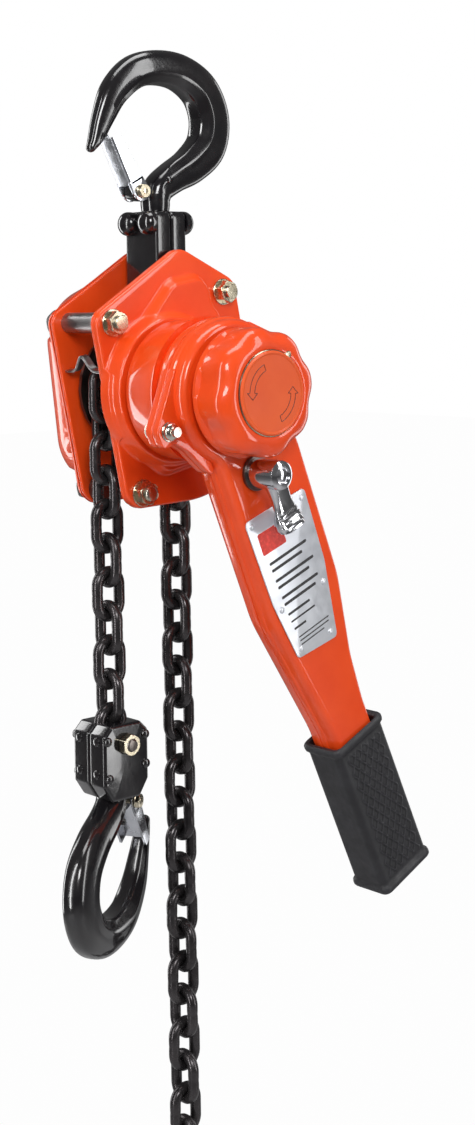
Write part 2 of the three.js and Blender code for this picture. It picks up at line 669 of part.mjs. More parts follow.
function addBrake(frame) {
  const { hubR, flangeR, ratchetTip, ratchetRoot } = BRAKE;
  const bore = rodY(SHAFT_R + RUN, -80, 0);
  const hub = cut(join(rodY(flangeR, -21.4, -19.2), rodY(hubR, -28.2, -20)), bore);
  frame.add(asMesh("friction_hub", hub, steel()));
  frame.add(asMesh("friction_disc_inner", ringY(hubR + GAP, flangeR - 0.5, -23.2, -21.7), lining()));
  const teeth = notchedOutline(12, ratchetTip, ratchetRoot, 0, 0.2, 0.85);
  const ratchet = cut(slab(teeth, -23.5, -26.5), rodY(hubR + GAP, -40, 0));
  frame.add(asMesh("ratchet_wheel", ratchet, steel()));
  frame.add(asMesh("friction_disc_outer", ringY(hubR + GAP, flangeR - 0.5, -28.2, -26.8), lining()));
  PAWL.angles.forEach((a, i) => frame.add(asMesh(`brake_pawl_${i + 1}`, brakePawl(a), steel())));
}

// ---------- lever ----------
const ARM_CORNERS = [
  [-17.5, -285, 3],
  [13.5, -285, 3],
  [13.5, -190, 30],
  [16, -164, 40],
  [26, -120, 60],
  [30, -42, 10],
  [25, -8, 8],
  [-25, -8, 8],
  [-26, -38, 10],
  [-29, -122, 60],
  [-17.5, -196, 40],
];
const EAR = { x: 44, root: 34, r: 7, boltR: 2.5, t: 5 };
const CHANGE = { teeth: 15, tipR: 20, rootR: 16.6, y0: -71, y1: -60, hubR: 12 };

function leverBlank(y0, y1, inward) {
  const head = rodY(LEVER.headR - inward, y0, y1, 0, 0, 28);
  const arm = slab(rounded(inward ? inset(ARM_CORNERS, inward) : ARM_CORNERS), y0, y1, 3);
  return join(head, arm);
}

// The two ears beside the lever head, each with a rounded end. y0 is in front of y1.
function ears(y0, y1) {
  return [-1, 1].map((s) => {
    const [x0, x1] = [s * EAR.root, s * EAR.x].sort((a, b) => a - b);
    return join(rodY(EAR.r, y0, y1, s * EAR.x, 0, 14), box(x0, x1, y0, y1, -EAR.r, EAR.r));
  });
}

function earHoles() {
  return [-1, 1].map((s) => rodY(EAR.boltR + GAP, -95, -40, s * EAR.x, 0, 10));
}

function leverRearShell() {
  const seam = LEVER.seam + GAP / 2;
  const blank = join(leverBlank(seam, LEVER.rear, 0), ...ears(seam, seam + EAR.t));
  const drum = rodY(LEVER.drumR, LEVER.rear - 1, LEVER.drumRear, 0, 0, 28);
  const room = leverBlank(seam - 1, LEVER.rear - LEVER.wall, LEVER.wall);
  const drumRoom = rodY(LEVER.drumR - LEVER.wall, seam - 1, LEVER.drumRear - LEVER.wall, 0, 0, 28);
  const hubHole = rodY(CHANGE.hubR + RUN, -60, 0, 0, 0, 24);
  const shiftHole = rodY(SHIFT.r + RUN, -90, -40, SHIFT.x, SHIFT.z, 14);
  return cut(join(blank, drum), room, drumRoom, hubHole, shiftHole, ...earHoles());
}

function leverFrontShell() {
  const seam = LEVER.seam - GAP / 2;
  const blank = join(leverBlank(LEVER.front, seam, 0), ...ears(seam - EAR.t, seam));
  const room = leverBlank(LEVER.front + LEVER.wall, seam + 1, LEVER.wall);
  const shaftHole = rodY(SHAFT_R + 6, -90, -60, 0, 0, 20);
  const shiftHole = rodY(SHIFT.r + RUN, -90, -40, SHIFT.x, SHIFT.z, 14);
  return cut(blank, room, shaftHole, shiftHole, ...earHoles());
}

function leverBolt(side) {
  const x = side * EAR.x;
  const seam = LEVER.seam;
  const shank = rodY(EAR.boltR, seam - 12, seam + 9.5, x, 0, 10);
  const head = hexY(5, seam - 9.3, seam - 5.6, x, 0);
  const nut = hexY(5, seam + 5.6, seam + 9.2, x, 0);
  return join(shank, head, nut);
}

function grip() {
  const { x0, x1, top, bottom, y0, y1 } = GRIP;
  const blank = (grow, z0, z1) => {
    const shape = rounded([
      [x0 - grow, y0 - grow, 4],
      [x1 + grow, y0 - grow, 4],
      [x1 + grow, y1 + grow, 4],
      [x0 - grow, y1 + grow, 4],
    ]);
    const options = { depth: z1 - z0, bevelEnabled: false, curveSegments: 5 };
    return solid(new THREE.ExtrudeGeometry(shape, options).translate(0, 0, z0));
  };
  const outer = join(blank(-1.3, bottom, top), blank(0, bottom, bottom + 5), blank(0, top - 5, top));
  const room = box(-17.5 - GAP, 13.5 + GAP, LEVER.front - GAP, LEVER.rear + GAP, -285 - GAP, top + 5);
  return cut(outer, room);
}

const SIGN_CORNERS = [
  [-25, -62, 3],
  [19.5, -65.5, 3],
  [16.5, -107, 20],
  [7.5, -148.5, 3],
  [-21.8, -144, 3],
  [-25.6, -110, 10],
];
const SIGN_RIVETS = [[-21.5, -66], [15.5, -69.5], [10.8, -117], [-21.5, -115], [4, -143.5], [-18, -140.5]];

function nameplate() {
  const back = LEVER.front - GAP;
  const sheet = slab(rounded(SIGN_CORNERS), back, back - 0.8, 4);
  return join(sheet, ...SIGN_RIVETS.map(([x, z]) => rodY(1.7, back - 1.6, back - 0.4, x, z, 8)));
}

function changeGear() {
  const toPawl = Math.atan2(SHIFT.z, SHIFT.x);
  const pitch = (2 * Math.PI) / CHANGE.teeth;
  const outline = notchedOutline(CHANGE.teeth, CHANGE.tipR, CHANGE.rootR, toPawl - 0.28 * pitch, 0.62, 0.94);
  const teeth = slab(outline, CHANGE.y0, CHANGE.y1);
  const hub = rodY(CHANGE.hubR, CHANGE.y0, -28.6, 0, 0, 24);
  const flange = rodY(19.3, -31.2, -28.5, 0, 0, 24);
  return cut(join(teeth, hub, flange), rodY(SHAFT_R + RUN, -90, 0));
}

function changePawl() {
  const toGear = Math.atan2(-SHIFT.z, -SHIFT.x);
  const nose = (side) => {
    const a = toGear + side * THREE.MathUtils.degToRad(35);
    const c = Math.cos(a);
    const s = Math.sin(a);
    const at = (along, across) => [SHIFT.x + along * c - across * s, SHIFT.z + along * s + across * c];
    const shape = new THREE.Shape();
    [at(0, -5), at(SHIFT.rodR, -1.3), at(SHIFT.rodR, 1.3), at(0, 5)].forEach(([x, z], i) => {
      if (i === 0) shape.moveTo(x, z);
      else shape.lineTo(x, z);
    });
    shape.closePath();
    return slab(shape, -70, -61);
  };
  const boss = rodY(8, -70, -61, SHIFT.x, SHIFT.z, 14);
  return cut(join(boss, nose(-1), nose(1)), rodY(SHIFT.r + GAP, -90, -40, SHIFT.x, SHIFT.z, 14));
}

function changeLever() {
  const { x, z, r } = SHIFT;
  const shaft = rodY(r, -98, LEVER.rear + 2, x, z, 14);
  const washer = rodY(8, -81.2, LEVER.front - GAP, x, z, 18);
  const hub = turned([[0, -100.5], [4.5, -100.5], [6.6, -99], [6.6, -81], [0, -81]], 18, x, z);
  const armOutline = rounded([[x - 5.5, z, 2], [x - 4.2, z - 32, 3], [x + 4.2, z - 32, 3], [x + 5.5, z, 2]]);
  const arm = slab(armOutline, -98, -85);
  return join(shaft, washer, hub, arm);
}

function addLever(lever) {
  lever.add(asMesh("lever_rear_shell", leverRearShell(), orange()));
  lever.add(asMesh("lever_front_shell", leverFrontShell(), orange()));
  lever.add(asMesh("lever_bolt_left", leverBolt(-1), brass()));
  lever.add(asMesh("lever_bolt_right", leverBolt(1), brass()));
  lever.add(asMesh("grip", grip(), rubber()));
  lever.add(asMesh("nameplate", nameplate(), platedSign()));
  lever.add(asMesh("change_gear", changeGear(), steel()));
  lever.add(asMesh("change_pawl", changePawl(), steel()));
  lever.add(asMesh("change_lever", changeLever(), zinc()));
}

// ---------- free-wheel knob ----------
function knobOutline() {
  const shape = new THREE.Shape();
  const steps = 40;
  for (let i = 0; i < steps; i += 1) {
    const a = (2 * Math.PI * i) / steps;
    const r = KNOB.r - 1.6 * (0.5 - 0.5 * Math.cos(8 * a)) ** 2;
    if (i === 0) shape.moveTo(r, 0);
    else shape.lineTo(r * Math.cos(a), r * Math.sin(a));
  }
  shape.closePath();
  return shape;
}

function knob() {
  const { r, back, front, capR, boreR } = KNOB;
  const body = slab(knobOutline(), back, front + 4);
  const skirt = rodY(r, back - 3, back, 0, 0, 28);
  const nose = turned([[0, front], [capR + 3.5, front], [r - 2.5, front + 4.2], [0, front + 4.2]], 28);
  const room = ringY(11, 25, back - 14, back + 1, 0, 0, 24);
  const recess = rodY(capR + GAP, front - 1, front + 1, 0, 0, 28);
  return cut(join(body, skirt, nose), room, recess, rodY(boreR, -101, 0));
}

function addKnob(frame) {
  frame.add(asMesh("freewheel_knob", knob(), orange()));
  const cap = rodY(KNOB.capR, KNOB.capFront, KNOB.front + 1 - GAP, 0, 0, 28);
  frame.add(asMesh("knob_cap", cap, orange()));
}

// ---------- chain runs ----------
// Inside half lengths of a link. The ends that move apart at the sheave are kept clear of each other.
const HALF = { joined: PITCH / 2 - 0.15, wrapped: 8, flatEnd: 7.7, uprightEnd: 12.7 };

function chainRun(x, first, last) {
  const links = [];
  for (let i = first; i <= last; i += 1) {
    const flat = i % 2 === 1;
    const end = flat ? HALF.flatEnd : HALF.uprightEnd;
    const above = i === first ? end : HALF.joined;
    links.push(solid(linkAt(x, AXIS.z - i * PITCH, flat, above, HALF.joined)));
  }
  return join(...links);
}

function wrappedChain() {
  const links = [0, 1, 2, 3].map((k) => {
    const below = k === 0 ? HALF.uprightEnd : HALF.wrapped;
    const above = k === 3 ? HALF.flatEnd : HALF.wrapped;
    const flat = k % 2 === 1;
    const r = flat ? SHEAVE_R - POCKET_DEPTH : SHEAVE_R;
    return solid(linkAt(-r, 0, flat, above, below).rotateY(k * LINK_STEP));
  });
  return join(...links);
}

const RING = { r: 13, wire: 3.5 };

function stopRing(x, lastZ) {
  const wireZ = lastZ - PITCH / 2 + RING.wire + GAP;
  const steps = 16;
  const points = [];
  for (let i = 0; i < steps; i += 1) {
    const a = (2 * Math.PI * i) / steps;
    points.push(new THREE.Vector3(x + RING.r * Math.cos(a), 0, wireZ - RING.r + RING.r * Math.sin(a)));
  }
  return solid(closedWire(points, RING.wire, 6));
}

function addChain(root, wheel) {
  wheel.add(asMesh("load_sheave", loadSheave(), blackSteel()));
  wheel.add(asMesh("wrapped_chain", wrappedChain(), blackSteel()));
  const loadX = AXIS.x - SHEAVE_R;
  const slackX = AXIS.x + SHEAVE_R;
  root.add(asMesh("load_chain", chainRun(loadX, 1, LOAD_LINKS), blackSteel()));
  root.add(asMesh("slack_chain", chainRun(slackX, 0, SLACK_LINKS - 1), blackSteel()));
  root.add(asMesh("stop_ring", stopRing(slackX, AXIS.z - (SLACK_LINKS - 1) * PITCH), blackSteel()));
}

// ---------- hook block ----------
function blockHalf(side) {
  const x = AXIS.x - SHEAVE_R;
  const { width, depth, top, bottom, pinR } = BLOCK;
  const w = width / 2;
  const corners = [
    [x - w, top - 5, 1.5], [x - w + 5, top, 1.5], [x + w - 5, top, 1.5], [x + w, top - 5, 1.5],
    [x + w, bottom + 9, 1.5], [x + 9, bottom, 1.5], [x - 9, bottom, 1.5], [x - w, bottom + 9, 1.5],
  ];
  const blank = slab(rounded(corners), (side * GAP) / 2, (side * depth) / 2);
  const lastZ = AXIS.z - LOAD_LINKS * PITCH;
  const uprightRoom = box(x - 10.8, x + 10.8, -3.6, 3.6, lastZ - 15.8, top + 5);
  const flatRoom = box(x - 3.6, x + 3.6, -10.8, 10.8, lastZ + PITCH - 15.8, top + 5);
  const neckRoom = rodZ(LOAD_SHANK.grooveR + 0.3, bottom - 2, LOAD_SADDLE_Z - LOAD_SHANK.grooveEnd, x, 0);
  const collarRoom = rodZ(
    LOAD_SHANK.collarR + 0.4,
    LOAD_SADDLE_Z - LOAD_SHANK.grooveEnd - 0.4,
    LOAD_SADDLE_Z - LOAD_SHANK.collarEnd + 0.4,
    x,
    0,
  );
  const pinHole = rodY(pinR + GAP, -20, 20, x, blockPinZ(), 18);
  return cut(blank, uprightRoom, flatRoom, neckRoom, collarRoom, pinHole);
}

function blockPinZ() {
  return AXIS.z - LOAD_LINKS * PITCH - PITCH / 2 + BLOCK.pinR + 0.5;
}

function addBlock(root) {
  const x = AXIS.x - SHEAVE_R;
  const z = blockPinZ();
  root.add(asMesh("block_half_front", blockHalf(-1), blackPaint()));
  root.add(asMesh("block_half_rear", blockHalf(1), blackPaint()));
  const face = BLOCK.depth / 2 + GAP;
  const pin = join(rodY(BLOCK.pinR, -face - 5.5, face + 1, x, z, 12), hexY(6.4, face, face + 4, x, z));
  root.add(asMesh("block_pin", pin, blackSteel()));
  const nut = cut(hexY(6.6, -face - 4.6, -face, x, z), rodY(BLOCK.pinR + GAP, -30, 0, x, z, 12));
  root.add(asMesh("block_pin_nut", nut, brass()));
  const hookGroup = new THREE.Group();
  hookGroup.position.set(x, 0, LOAD_SADDLE_Z);
  hookGroup.rotation.set(0, Math.PI, LOAD_HOOK_YAW, "ZYX");
  hookGroup.add(asMesh("load_hook", hookSolid(LOAD_SHANK), blackPaint()));
  placeLatch(hookGroup, "load", LOAD_SHANK);
  root.add(hookGroup);
}

// ---------- assembly ----------
function assemble() {
  const root = new THREE.Group();
  const frame = new THREE.Group();
  const wheel = new THREE.Group();
  const lever = new THREE.Group();
  for (const group of [frame, wheel, lever]) {
    group.position.set(AXIS.x, 0, AXIS.z);
    root.add(group);
  }
  frame.rotation.y = -BODY_TILT;
  lever.rotation.y = -LEVER_ANGLE;
  addTop(root);
  addFrame(frame);
  addGears(frame);
  addBrake(frame);
  addKnob(frame);
  addLever(lever);
  addChain(root, wheel);
  addBlock(root);
  return root;
}

export default assemble();
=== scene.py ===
"""Looks of the ratchet lever hoist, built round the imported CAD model. Lengths here are in millimetres
until a piece is made, and every piece then sits in the CAD frame, in metres."""

import json
import math

import bmesh
import bpy
import numpy as np
from mathutils import Matrix, Vector
from mathutils.geometry import tessellate_polygon


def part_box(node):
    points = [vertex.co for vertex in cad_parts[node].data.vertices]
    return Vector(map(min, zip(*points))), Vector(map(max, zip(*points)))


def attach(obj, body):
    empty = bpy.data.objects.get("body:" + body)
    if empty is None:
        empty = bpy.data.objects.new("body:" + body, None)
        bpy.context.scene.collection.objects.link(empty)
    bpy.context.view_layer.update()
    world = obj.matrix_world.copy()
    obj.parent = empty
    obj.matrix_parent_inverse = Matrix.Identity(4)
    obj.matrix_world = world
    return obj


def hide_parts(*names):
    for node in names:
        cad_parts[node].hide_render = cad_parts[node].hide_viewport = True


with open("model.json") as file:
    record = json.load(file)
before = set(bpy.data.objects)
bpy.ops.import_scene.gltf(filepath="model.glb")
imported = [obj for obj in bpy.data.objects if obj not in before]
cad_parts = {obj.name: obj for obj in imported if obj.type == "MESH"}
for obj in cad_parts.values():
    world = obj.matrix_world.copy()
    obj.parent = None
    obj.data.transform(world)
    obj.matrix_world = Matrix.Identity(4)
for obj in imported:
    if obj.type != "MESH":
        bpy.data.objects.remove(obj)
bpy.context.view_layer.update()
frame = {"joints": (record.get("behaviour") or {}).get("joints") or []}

# ---- driving dimensions ----
AXIS = next([1000 * v for v in j["pos_m"]] for j in frame["joints"] if j["name"] == "sheave_spin")
TILT = math.radians(11.5)  # the frame's lean
LEVER_TILT = math.radians(24)
HOOK_YAW = math.radians(28)
PITCH = 18.0
WIRE_R = 3.0
LINK_BEND = 7.2  # a link's ends, at the middle of its wire
LINK_HALF = 8.85  # half a link's inside length, less its clearance
SHEAVE_R = 23.5
LOAD_X = AXIS[0] - SHEAVE_R
SLACK_X = AXIS[0] + SHEAVE_R
LOAD_SADDLE_Z = -441.0
PLATE_CORNERS = [(-37, 47.5, 9), (-37, -50, 9), (-31, -57, 9), (13, -64.5, 60),
                 (57, -57, 9), (61.5, -50, 9), (61.5, 46, 10), (27, 71.5, 12)]
BOLT_SPOTS = [(-26.5, 41.8), (51.1, 41.6), (-26.6, -49.3), (51.1, -49.3)]
SHORT_BOLT = 3  # the number of the place where the load chain leaves no room for a stay
PLATE_INNER, PLATE_OUTER = 16.05, 18.65  # a side plate's faces, from the frame's middle
COVER_SEAT = 19.05
COVER_WALL = 2.2
BOLT_R = 3.95
BOLT_HEAD_R = 7.2
HEAD_R = 38.0  # the lever's round head
LEVER_SEAM = 68.0
ARM_CORNERS = [(-17.5, -285, 3), (13.5, -285, 3), (13.5, -190, 30), (16, -164, 40), (26, -120, 60), (30, -42, 10),
               (25, -8, 8), (-25, -8, 8), (-26, -38, 10), (-29, -122, 60), (-17.5, -196, 40)]
SELECTOR_X, SELECTOR_Z = -7.0, -42.6
SIGN_FACE = -80.03
SIGN_CORNERS = [(-25, -62, 3), (19.5, -65.5, 3), (16.5, -107, 20), (7.5, -148.5, 3), (-21.8, -144, 3),
                (-25.6, -110, 10)]
SIGN_RIVETS = [(-21.5, -66), (15.5, -69.5), (10.8, -117), (-21.5, -115), (4, -143.5), (-18, -140.5)]
# A hook's bow from its point to its neck: x, z, width in the hook's plane and thickness.
HOOK_STATIONS = [(-43.3, -37, 4.8, 6), (-39.8, -31, 8.2, 8.5), (-34.6, -19, 12.2, 11), (-27.2, -5.7, 15.8, 13.5),
                 (-14, 5.3, 18, 15.5), (2, 9.0, 19, 16.5), (19, 7.2, 20.2, 17), (33.6, -1.7, 22.4, 17),
                 (40.3, -16.5, 24, 17), (37.6, -32, 23.6, 17), (25.8, -43.2, 20.6, 17), (12.5, -50.3, 17.6, 17),
                 (3, -56.5, 16.5, 16.5), (0, -62.5, 16, 16)]


SIDES = (("front", -1), ("rear", 1))


# ---- places ----
def in_world(p):
    return p


def turned_about(x, z, angle, place=in_world):
    """A turn about an axis along Y through x and z."""
    c, s = math.cos(angle), math.sin(angle)
    return lambda p: place((x + p[0] * c - p[2] * s, p[1], z + p[0] * s + p[2] * c))


in_frame = turned_about(AXIS[0], AXIS[2], TILT)
in_lever = turned_about(AXIS[0], AXIS[2], LEVER_TILT)


def in_load_hook(p):
    """A point of an upright hook, turned over and hung from the load chain."""
    c, s = math.cos(HOOK_YAW), math.sin(HOOK_YAW)
    x, y = -p[0], p[1]
    return (LOAD_X + x * c - y * s, x * s + y * c, LOAD_SADDLE_Z - p[2])


def shifted(dx, dy, dz, place=in_world):
    return lambda p: place((p[0] + dx, p[1] + dy, p[2] + dz))


# ---- meshes ----
def turns(n):
    """The angles of n equal steps round a circle."""
    return [2 * math.pi * k / n for k in range(n)]


def quarter_turns(n):
    return [math.pi / 2 * k / n for k in range(n + 1)]


def polar(r, a):
    return r * math.cos(a), r * math.sin(a)


def squared(a, bend_u, bend_v):
    """A point at angle a of a unit circle pressed towards a square."""
    u, v = polar(1, a)
    return math.copysign(abs(u) ** bend_u, u), math.copysign(abs(v) ** bend_v, v)


def dome(r, y, rise, n):
    """The (radius, y) pairs of a rounded head that rises from y."""
    return [(r * math.cos(a), y + rise * math.sin(a)) for a in quarter_turns(n)[1:]]


def skin(loops, capped=True, ring=False):
    """Quads between loops of equal length, with a fan over each end unless it is open or a ring."""
    n = len(loops[0])
    verts = [p for loop in loops for p in loop]
    faces = []
    rows = len(loops)
    for i in range(rows if ring else rows - 1):
        a, b = i * n, ((i + 1) % rows) * n
        faces += [(a + k, a + (k + 1) % n, b + (k + 1) % n, b + k) for k in range(n)]
    for base in (0, (rows - 1) * n) if capped and not ring else ():
        faces += [(base + k, base + (k + 1) % n, len(verts)) for k in range(n)]
        verts.append(tuple(np.mean(verts[base:base + n], axis=0)))
    return verts, faces


def lathe(profile, n=72, x=0.0, z=0.0, ring=False):
    """A turned shape about an axis along Y, from (radius, y) pairs."""
    loops = [[(x + r * math.cos(a), y, z + r * math.sin(a)) for a in turns(n)] for r, y in profile]
    return skin(loops, ring=ring)


def swap(part, order):
    """A part with its coordinates reordered, so that a shape made about Y lies along another axis."""
    verts, faces = part
    return [tuple(p[i] for i in order) for p in verts], faces


def moved(part, place):
    verts, faces = part
    return [place(p) for p in verts], faces


def together(parts):
    """Parts as one list of vertices and one of faces."""
    verts, faces = [], []
    for part_verts, part_faces in parts:
        base = len(verts)
        verts += part_verts
        faces += [tuple(base + i for i in f) for f in part_faces]
    return verts, faces


def resample(points, n):
    """n points at equal steps round a closed loop."""
    p = np.asarray(points, float)
    closed = np.vstack([p, p[:1]])
    steps = np.linalg.norm(np.diff(closed, axis=0), axis=1)
    at = np.concatenate([[0], np.cumsum(steps)])
    want = np.linspace(0, at[-1], n, endpoint=False)
    return np.stack([np.interp(want, at, closed[:, i]) for i in range(closed.shape[1])], axis=1)


def rounded(corners, n=240):
    """A closed outline through corners (x, z, radius), turning anticlockwise."""
    points = []
    for i, (x, z, r) in enumerate(corners):
        here = np.array([x, z], float)
        before = np.array(corners[i - 1][:2], float) - here
        after = np.array(corners[(i + 1) % len(corners)][:2], float) - here
        lb, la = np.linalg.norm(before), np.linalg.norm(after)
        half = math.acos(float(before @ after) / (lb * la)) / 2
        reach = min(r / math.tan(half), 0.49 * lb, 0.49 * la)
        start, end = here + before / lb * reach, here + after / la * reach
        for t in np.linspace(0, 1, 14):
            points.append((1 - t) ** 2 * start + 2 * t * (1 - t) * here + t ** 2 * end)
    loop = resample(points, n)
    area = np.sum(loop[:, 0] * np.roll(loop[:, 1], -1) - np.roll(loop[:, 0], -1) * loop[:, 1])
    return loop if area > 0 else loop[::-1]


def inset(loop, d):
    """The loop moved inwards by d."""
    along = np.roll(loop, -1, axis=0) - np.roll(loop, 1, axis=0)
    along /= np.linalg.norm(along, axis=1)[:, None]
    return loop + d * np.stack([-along[:, 1], along[:, 0]], axis=1)


def at_y(loop, y):
    return [(float(x), y, float(z)) for x, z in loop]


def at_z(loop, z):
    return [(float(x), float(y), z) for x, y in loop]


def slab(loop, y0, y1, bevel=0.8, steps=4):
    """An outline drawn out along Y from y0 to y1, with both edges rounded."""
    sign = 1 if y1 > y0 else -1
    pairs = [(bevel * (1 - math.sin(a)), bevel * (1 - math.cos(a))) for a in quarter_turns(steps)]
    loops = [at_y(inset(loop, inward), y0 + sign * up) for inward, up in pairs]
    return skin(loops + [at_y(inset(loop, inward), y1 - sign * up) for up, inward in pairs])


def circle(r, n, x=0.0, z=0.0):
    a = np.linspace(0, 2 * math.pi, n, endpoint=False)
    return np.stack([x + r * np.cos(a), z + r * np.sin(a)], axis=1)


def smooth(t):
    t = np.clip(t, 0, 1)
    return t * t * (3 - 2 * t)


def spline(points, steps):
    """A Catmull-Rom curve through rows of numbers."""
    p = np.asarray(points, float)
    ends = np.vstack([2 * p[0] - p[1], p, 2 * p[-1] - p[-2]])
    out = []
    for i in range(1, len(p)):
        a, b, c, d = ends[i - 1], ends[i], ends[i + 1], ends[i + 2]
        for k in range(steps):
            t = k / steps
            out.append(0.5 * (2 * b + (c - a) * t + (2 * a - 5 * b + 4 * c - d) * t * t
                              + (3 * b - a - 3 * c + d) * t ** 3))
    out.append(p[-1])
    return np.array(out)


def shown(name, data):
    """A new object in the scene."""
    made = bpy.data.objects.new(name, data)
    bpy.context.scene.collection.objects.link(made)
    return made


def piece(name, parts, body, look, replaces=(), place=in_world, sharp=32):
    """One shown object made of parts, riding on a CAD body; edges bent by more than 'sharp' degrees stay hard."""
    verts, faces = together(parts)
    mesh = bpy.data.meshes.new(name)
    mesh.from_pydata([tuple(0.001 * c for c in place(p)) for p in verts], [], faces)
    work = bmesh.new()
    work.from_mesh(mesh)
    bmesh.ops.remove_doubles(work, verts=work.verts, dist=1e-7)
    bmesh.ops.recalc_face_normals(work, faces=work.faces)
    limit = math.radians(sharp)
    for face in work.faces:
        face.smooth = True
    for edge in work.edges:
        edge.smooth = len(edge.link_faces) == 2 and edge.calc_face_angle(0) < limit
    work.to_mesh(mesh)
    work.free()
    made = shown(name, mesh)
    mesh.materials.append(look)
    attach(made, body)
    if replaces:
        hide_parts(*replaces)


# ---- materials ----
class Look:
    """A material being built: its nodes, and short ways to add and join them."""

    def __init__(self, name):
        self.material = bpy.data.materials.new(name)
        self.material.use_nodes = True
        self.tree = self.material.node_tree
        self.shader = self.tree.nodes["Principled BSDF"]
        self.coords = self.tree.nodes.new("ShaderNodeTexCoord")

    def node(self, kind, **values):
        made = self.tree.nodes.new("ShaderNode" + kind)
        for key, value in values.items():
            if key in made.inputs:
                made.inputs[key].default_value = value
            else:
                setattr(made, key, value)
        return made

    def join(self, out, into):
        self.tree.links.new(out, into)

    def noise(self, scale, detail=4.0, roughness=0.55):
        made = self.node("TexNoise", Scale=scale, Detail=detail, Roughness=roughness)
        self.join(self.coords.outputs["Object"], made.inputs["Vector"])
        return made.outputs["Fac"]

    def ramp(self, value, low, high, dark=0.0, light=1.0):
        made = self.node("MapRange")
        for key, number in (("From Min", low), ("From Max", high), ("To Min", dark), ("To Max", light)):
            made.inputs[key].default_value = number
        self.join(value, made.inputs["Value"])
        return made.outputs["Result"]

    def mix(self, share, a, b):
        made = self.node("Mix", data_type="RGBA")
        self.join(share, made.inputs[0])
        for socket, value in ((made.inputs[6], a), (made.inputs[7], b)):
            if isinstance(value, (tuple, list)):
                socket.default_value = (*value[:3], 1)
            else:
                self.join(value, socket)
        return made.outputs[2]

    def times(self, a, b):
        made = self.node("Math", operation="MULTIPLY")
        for socket, value in zip(made.inputs, (a, b)):
            if isinstance(value, (int, float)):
                socket.default_value = value
            else:
                self.join(value, socket)
        return made.outputs[0]

    def bump(self, *layers):
        """Bumps on each other, each layer (noise scale, noise detail, strength, distance)."""
        normal = None
        for scale, detail, strength, distance in layers:
            made = self.node("Bump", Strength=strength, Distance=distance)
            self.join(self.noise(scale, detail), made.inputs["Height"])
            if normal is not None:
                self.join(normal, made.inputs["Normal"])
            normal = made.outputs["Normal"]
        self.join(normal, self.shader.inputs["Normal"])

    def edges(self, low=0.53, high=0.62):
        """1 on convex edges, where paint and plating wear."""
        made = self.node("NewGeometry")
        return self.ramp(made.outputs["Pointiness"], low, high)

    def colour(self, out):
        self.join(out, self.shader.inputs["Base Color"])

    def rough(self, scale, detail, low, high):
        """A roughness that wanders between low and high."""
        self.join(self.ramp(self.noise(scale, detail), 0.3, 0.7, low, high), self.shader.inputs["Roughness"])

    def set(self, **values):
        for key, value in values.items():
            self.shader.inputs[key.replace("_", " ")].default_value = value


def paint(name, base, deep, worn, coat=0.55, rough=(0.22, 0.36), peel=0.06, wear=0.35, haze=0.5):
    """Gloss paint over pressed or forged steel, with orange peel, faint mottling and edges worn thin."""
    look = Look(name)
    cloud = look.ramp(look.noise(38, 5), 0.35, 0.7)
    body = look.mix(cloud, base, deep)
    chips = look.times(look.edges(), look.ramp(look.noise(260, 6, 0.7), 0.52, 0.66))
    look.colour(look.mix(look.times(chips, wear), body, worn))
    look.rough(90, 6, *rough)
    look.bump((520, 2, peel, 0.0004), (60, 3, 0.05, 0.0012))
    look.set(Coat_Weight=coat, Coat_Roughness=0.06, Specular_IOR_Level=haze)
    return look.material


def metal(name, base, deep, rough=(0.22, 0.4), grain=300.0, strength=0.08, stain=(0.1, 0.07, 0.05), stained=0.25,
          metallic=1.0):
    """Bare or plated metal with fine grain, uneven polish, and stains held in its low spots."""
    look = Look(name)
    body = look.mix(look.ramp(look.noise(45, 5), 0.3, 0.72), base, deep)
    spots = look.times(look.ramp(look.noise(120, 7, 0.7), 0.56, 0.74), stained)
    look.colour(look.mix(spots, body, stain))
    look.rough(160, 6, *rough)
    look.bump((grain, 4, strength, 0.0003), (70, 3, 0.05, 0.0008))
    look.set(Metallic=metallic)
    return look.material


def rubber():
    look = Look("rubber_grip")
    dust = look.times(look.ramp(look.noise(70, 6, 0.65), 0.45, 0.75), 0.5)
    body = look.mix(dust, (0.012, 0.0115, 0.014), (0.03, 0.029, 0.034))
    look.colour(look.mix(look.times(look.edges(0.51, 0.6), 0.5), body, (0.07, 0.07, 0.08)))
    look.rough(200, 6, 0.42, 0.62)
    look.bump((900, 4, 0.12, 0.0003), (90, 4, 0.06, 0.0008))
    return look.material


def lining():
    look = Look("brake_lining")
    look.colour(look.mix(look.ramp(look.noise(420, 6, 0.7), 0.4, 0.6), (0.1, 0.06, 0.035), (0.2, 0.13, 0.07)))
    look.rough(300, 5, 0.75, 0.9)
    look.bump((700, 5, 0.2, 0.0004))
    return look.material


def ink(name, colour):
    look = Look(name)
    light = tuple(min(1.0, 1.6 * c + 0.01) for c in colour)
    look.colour(look.mix(look.ramp(look.noise(500, 5), 0.45, 0.75), colour, light))
    look.rough(300, 4, 0.35, 0.5)
    return look.material


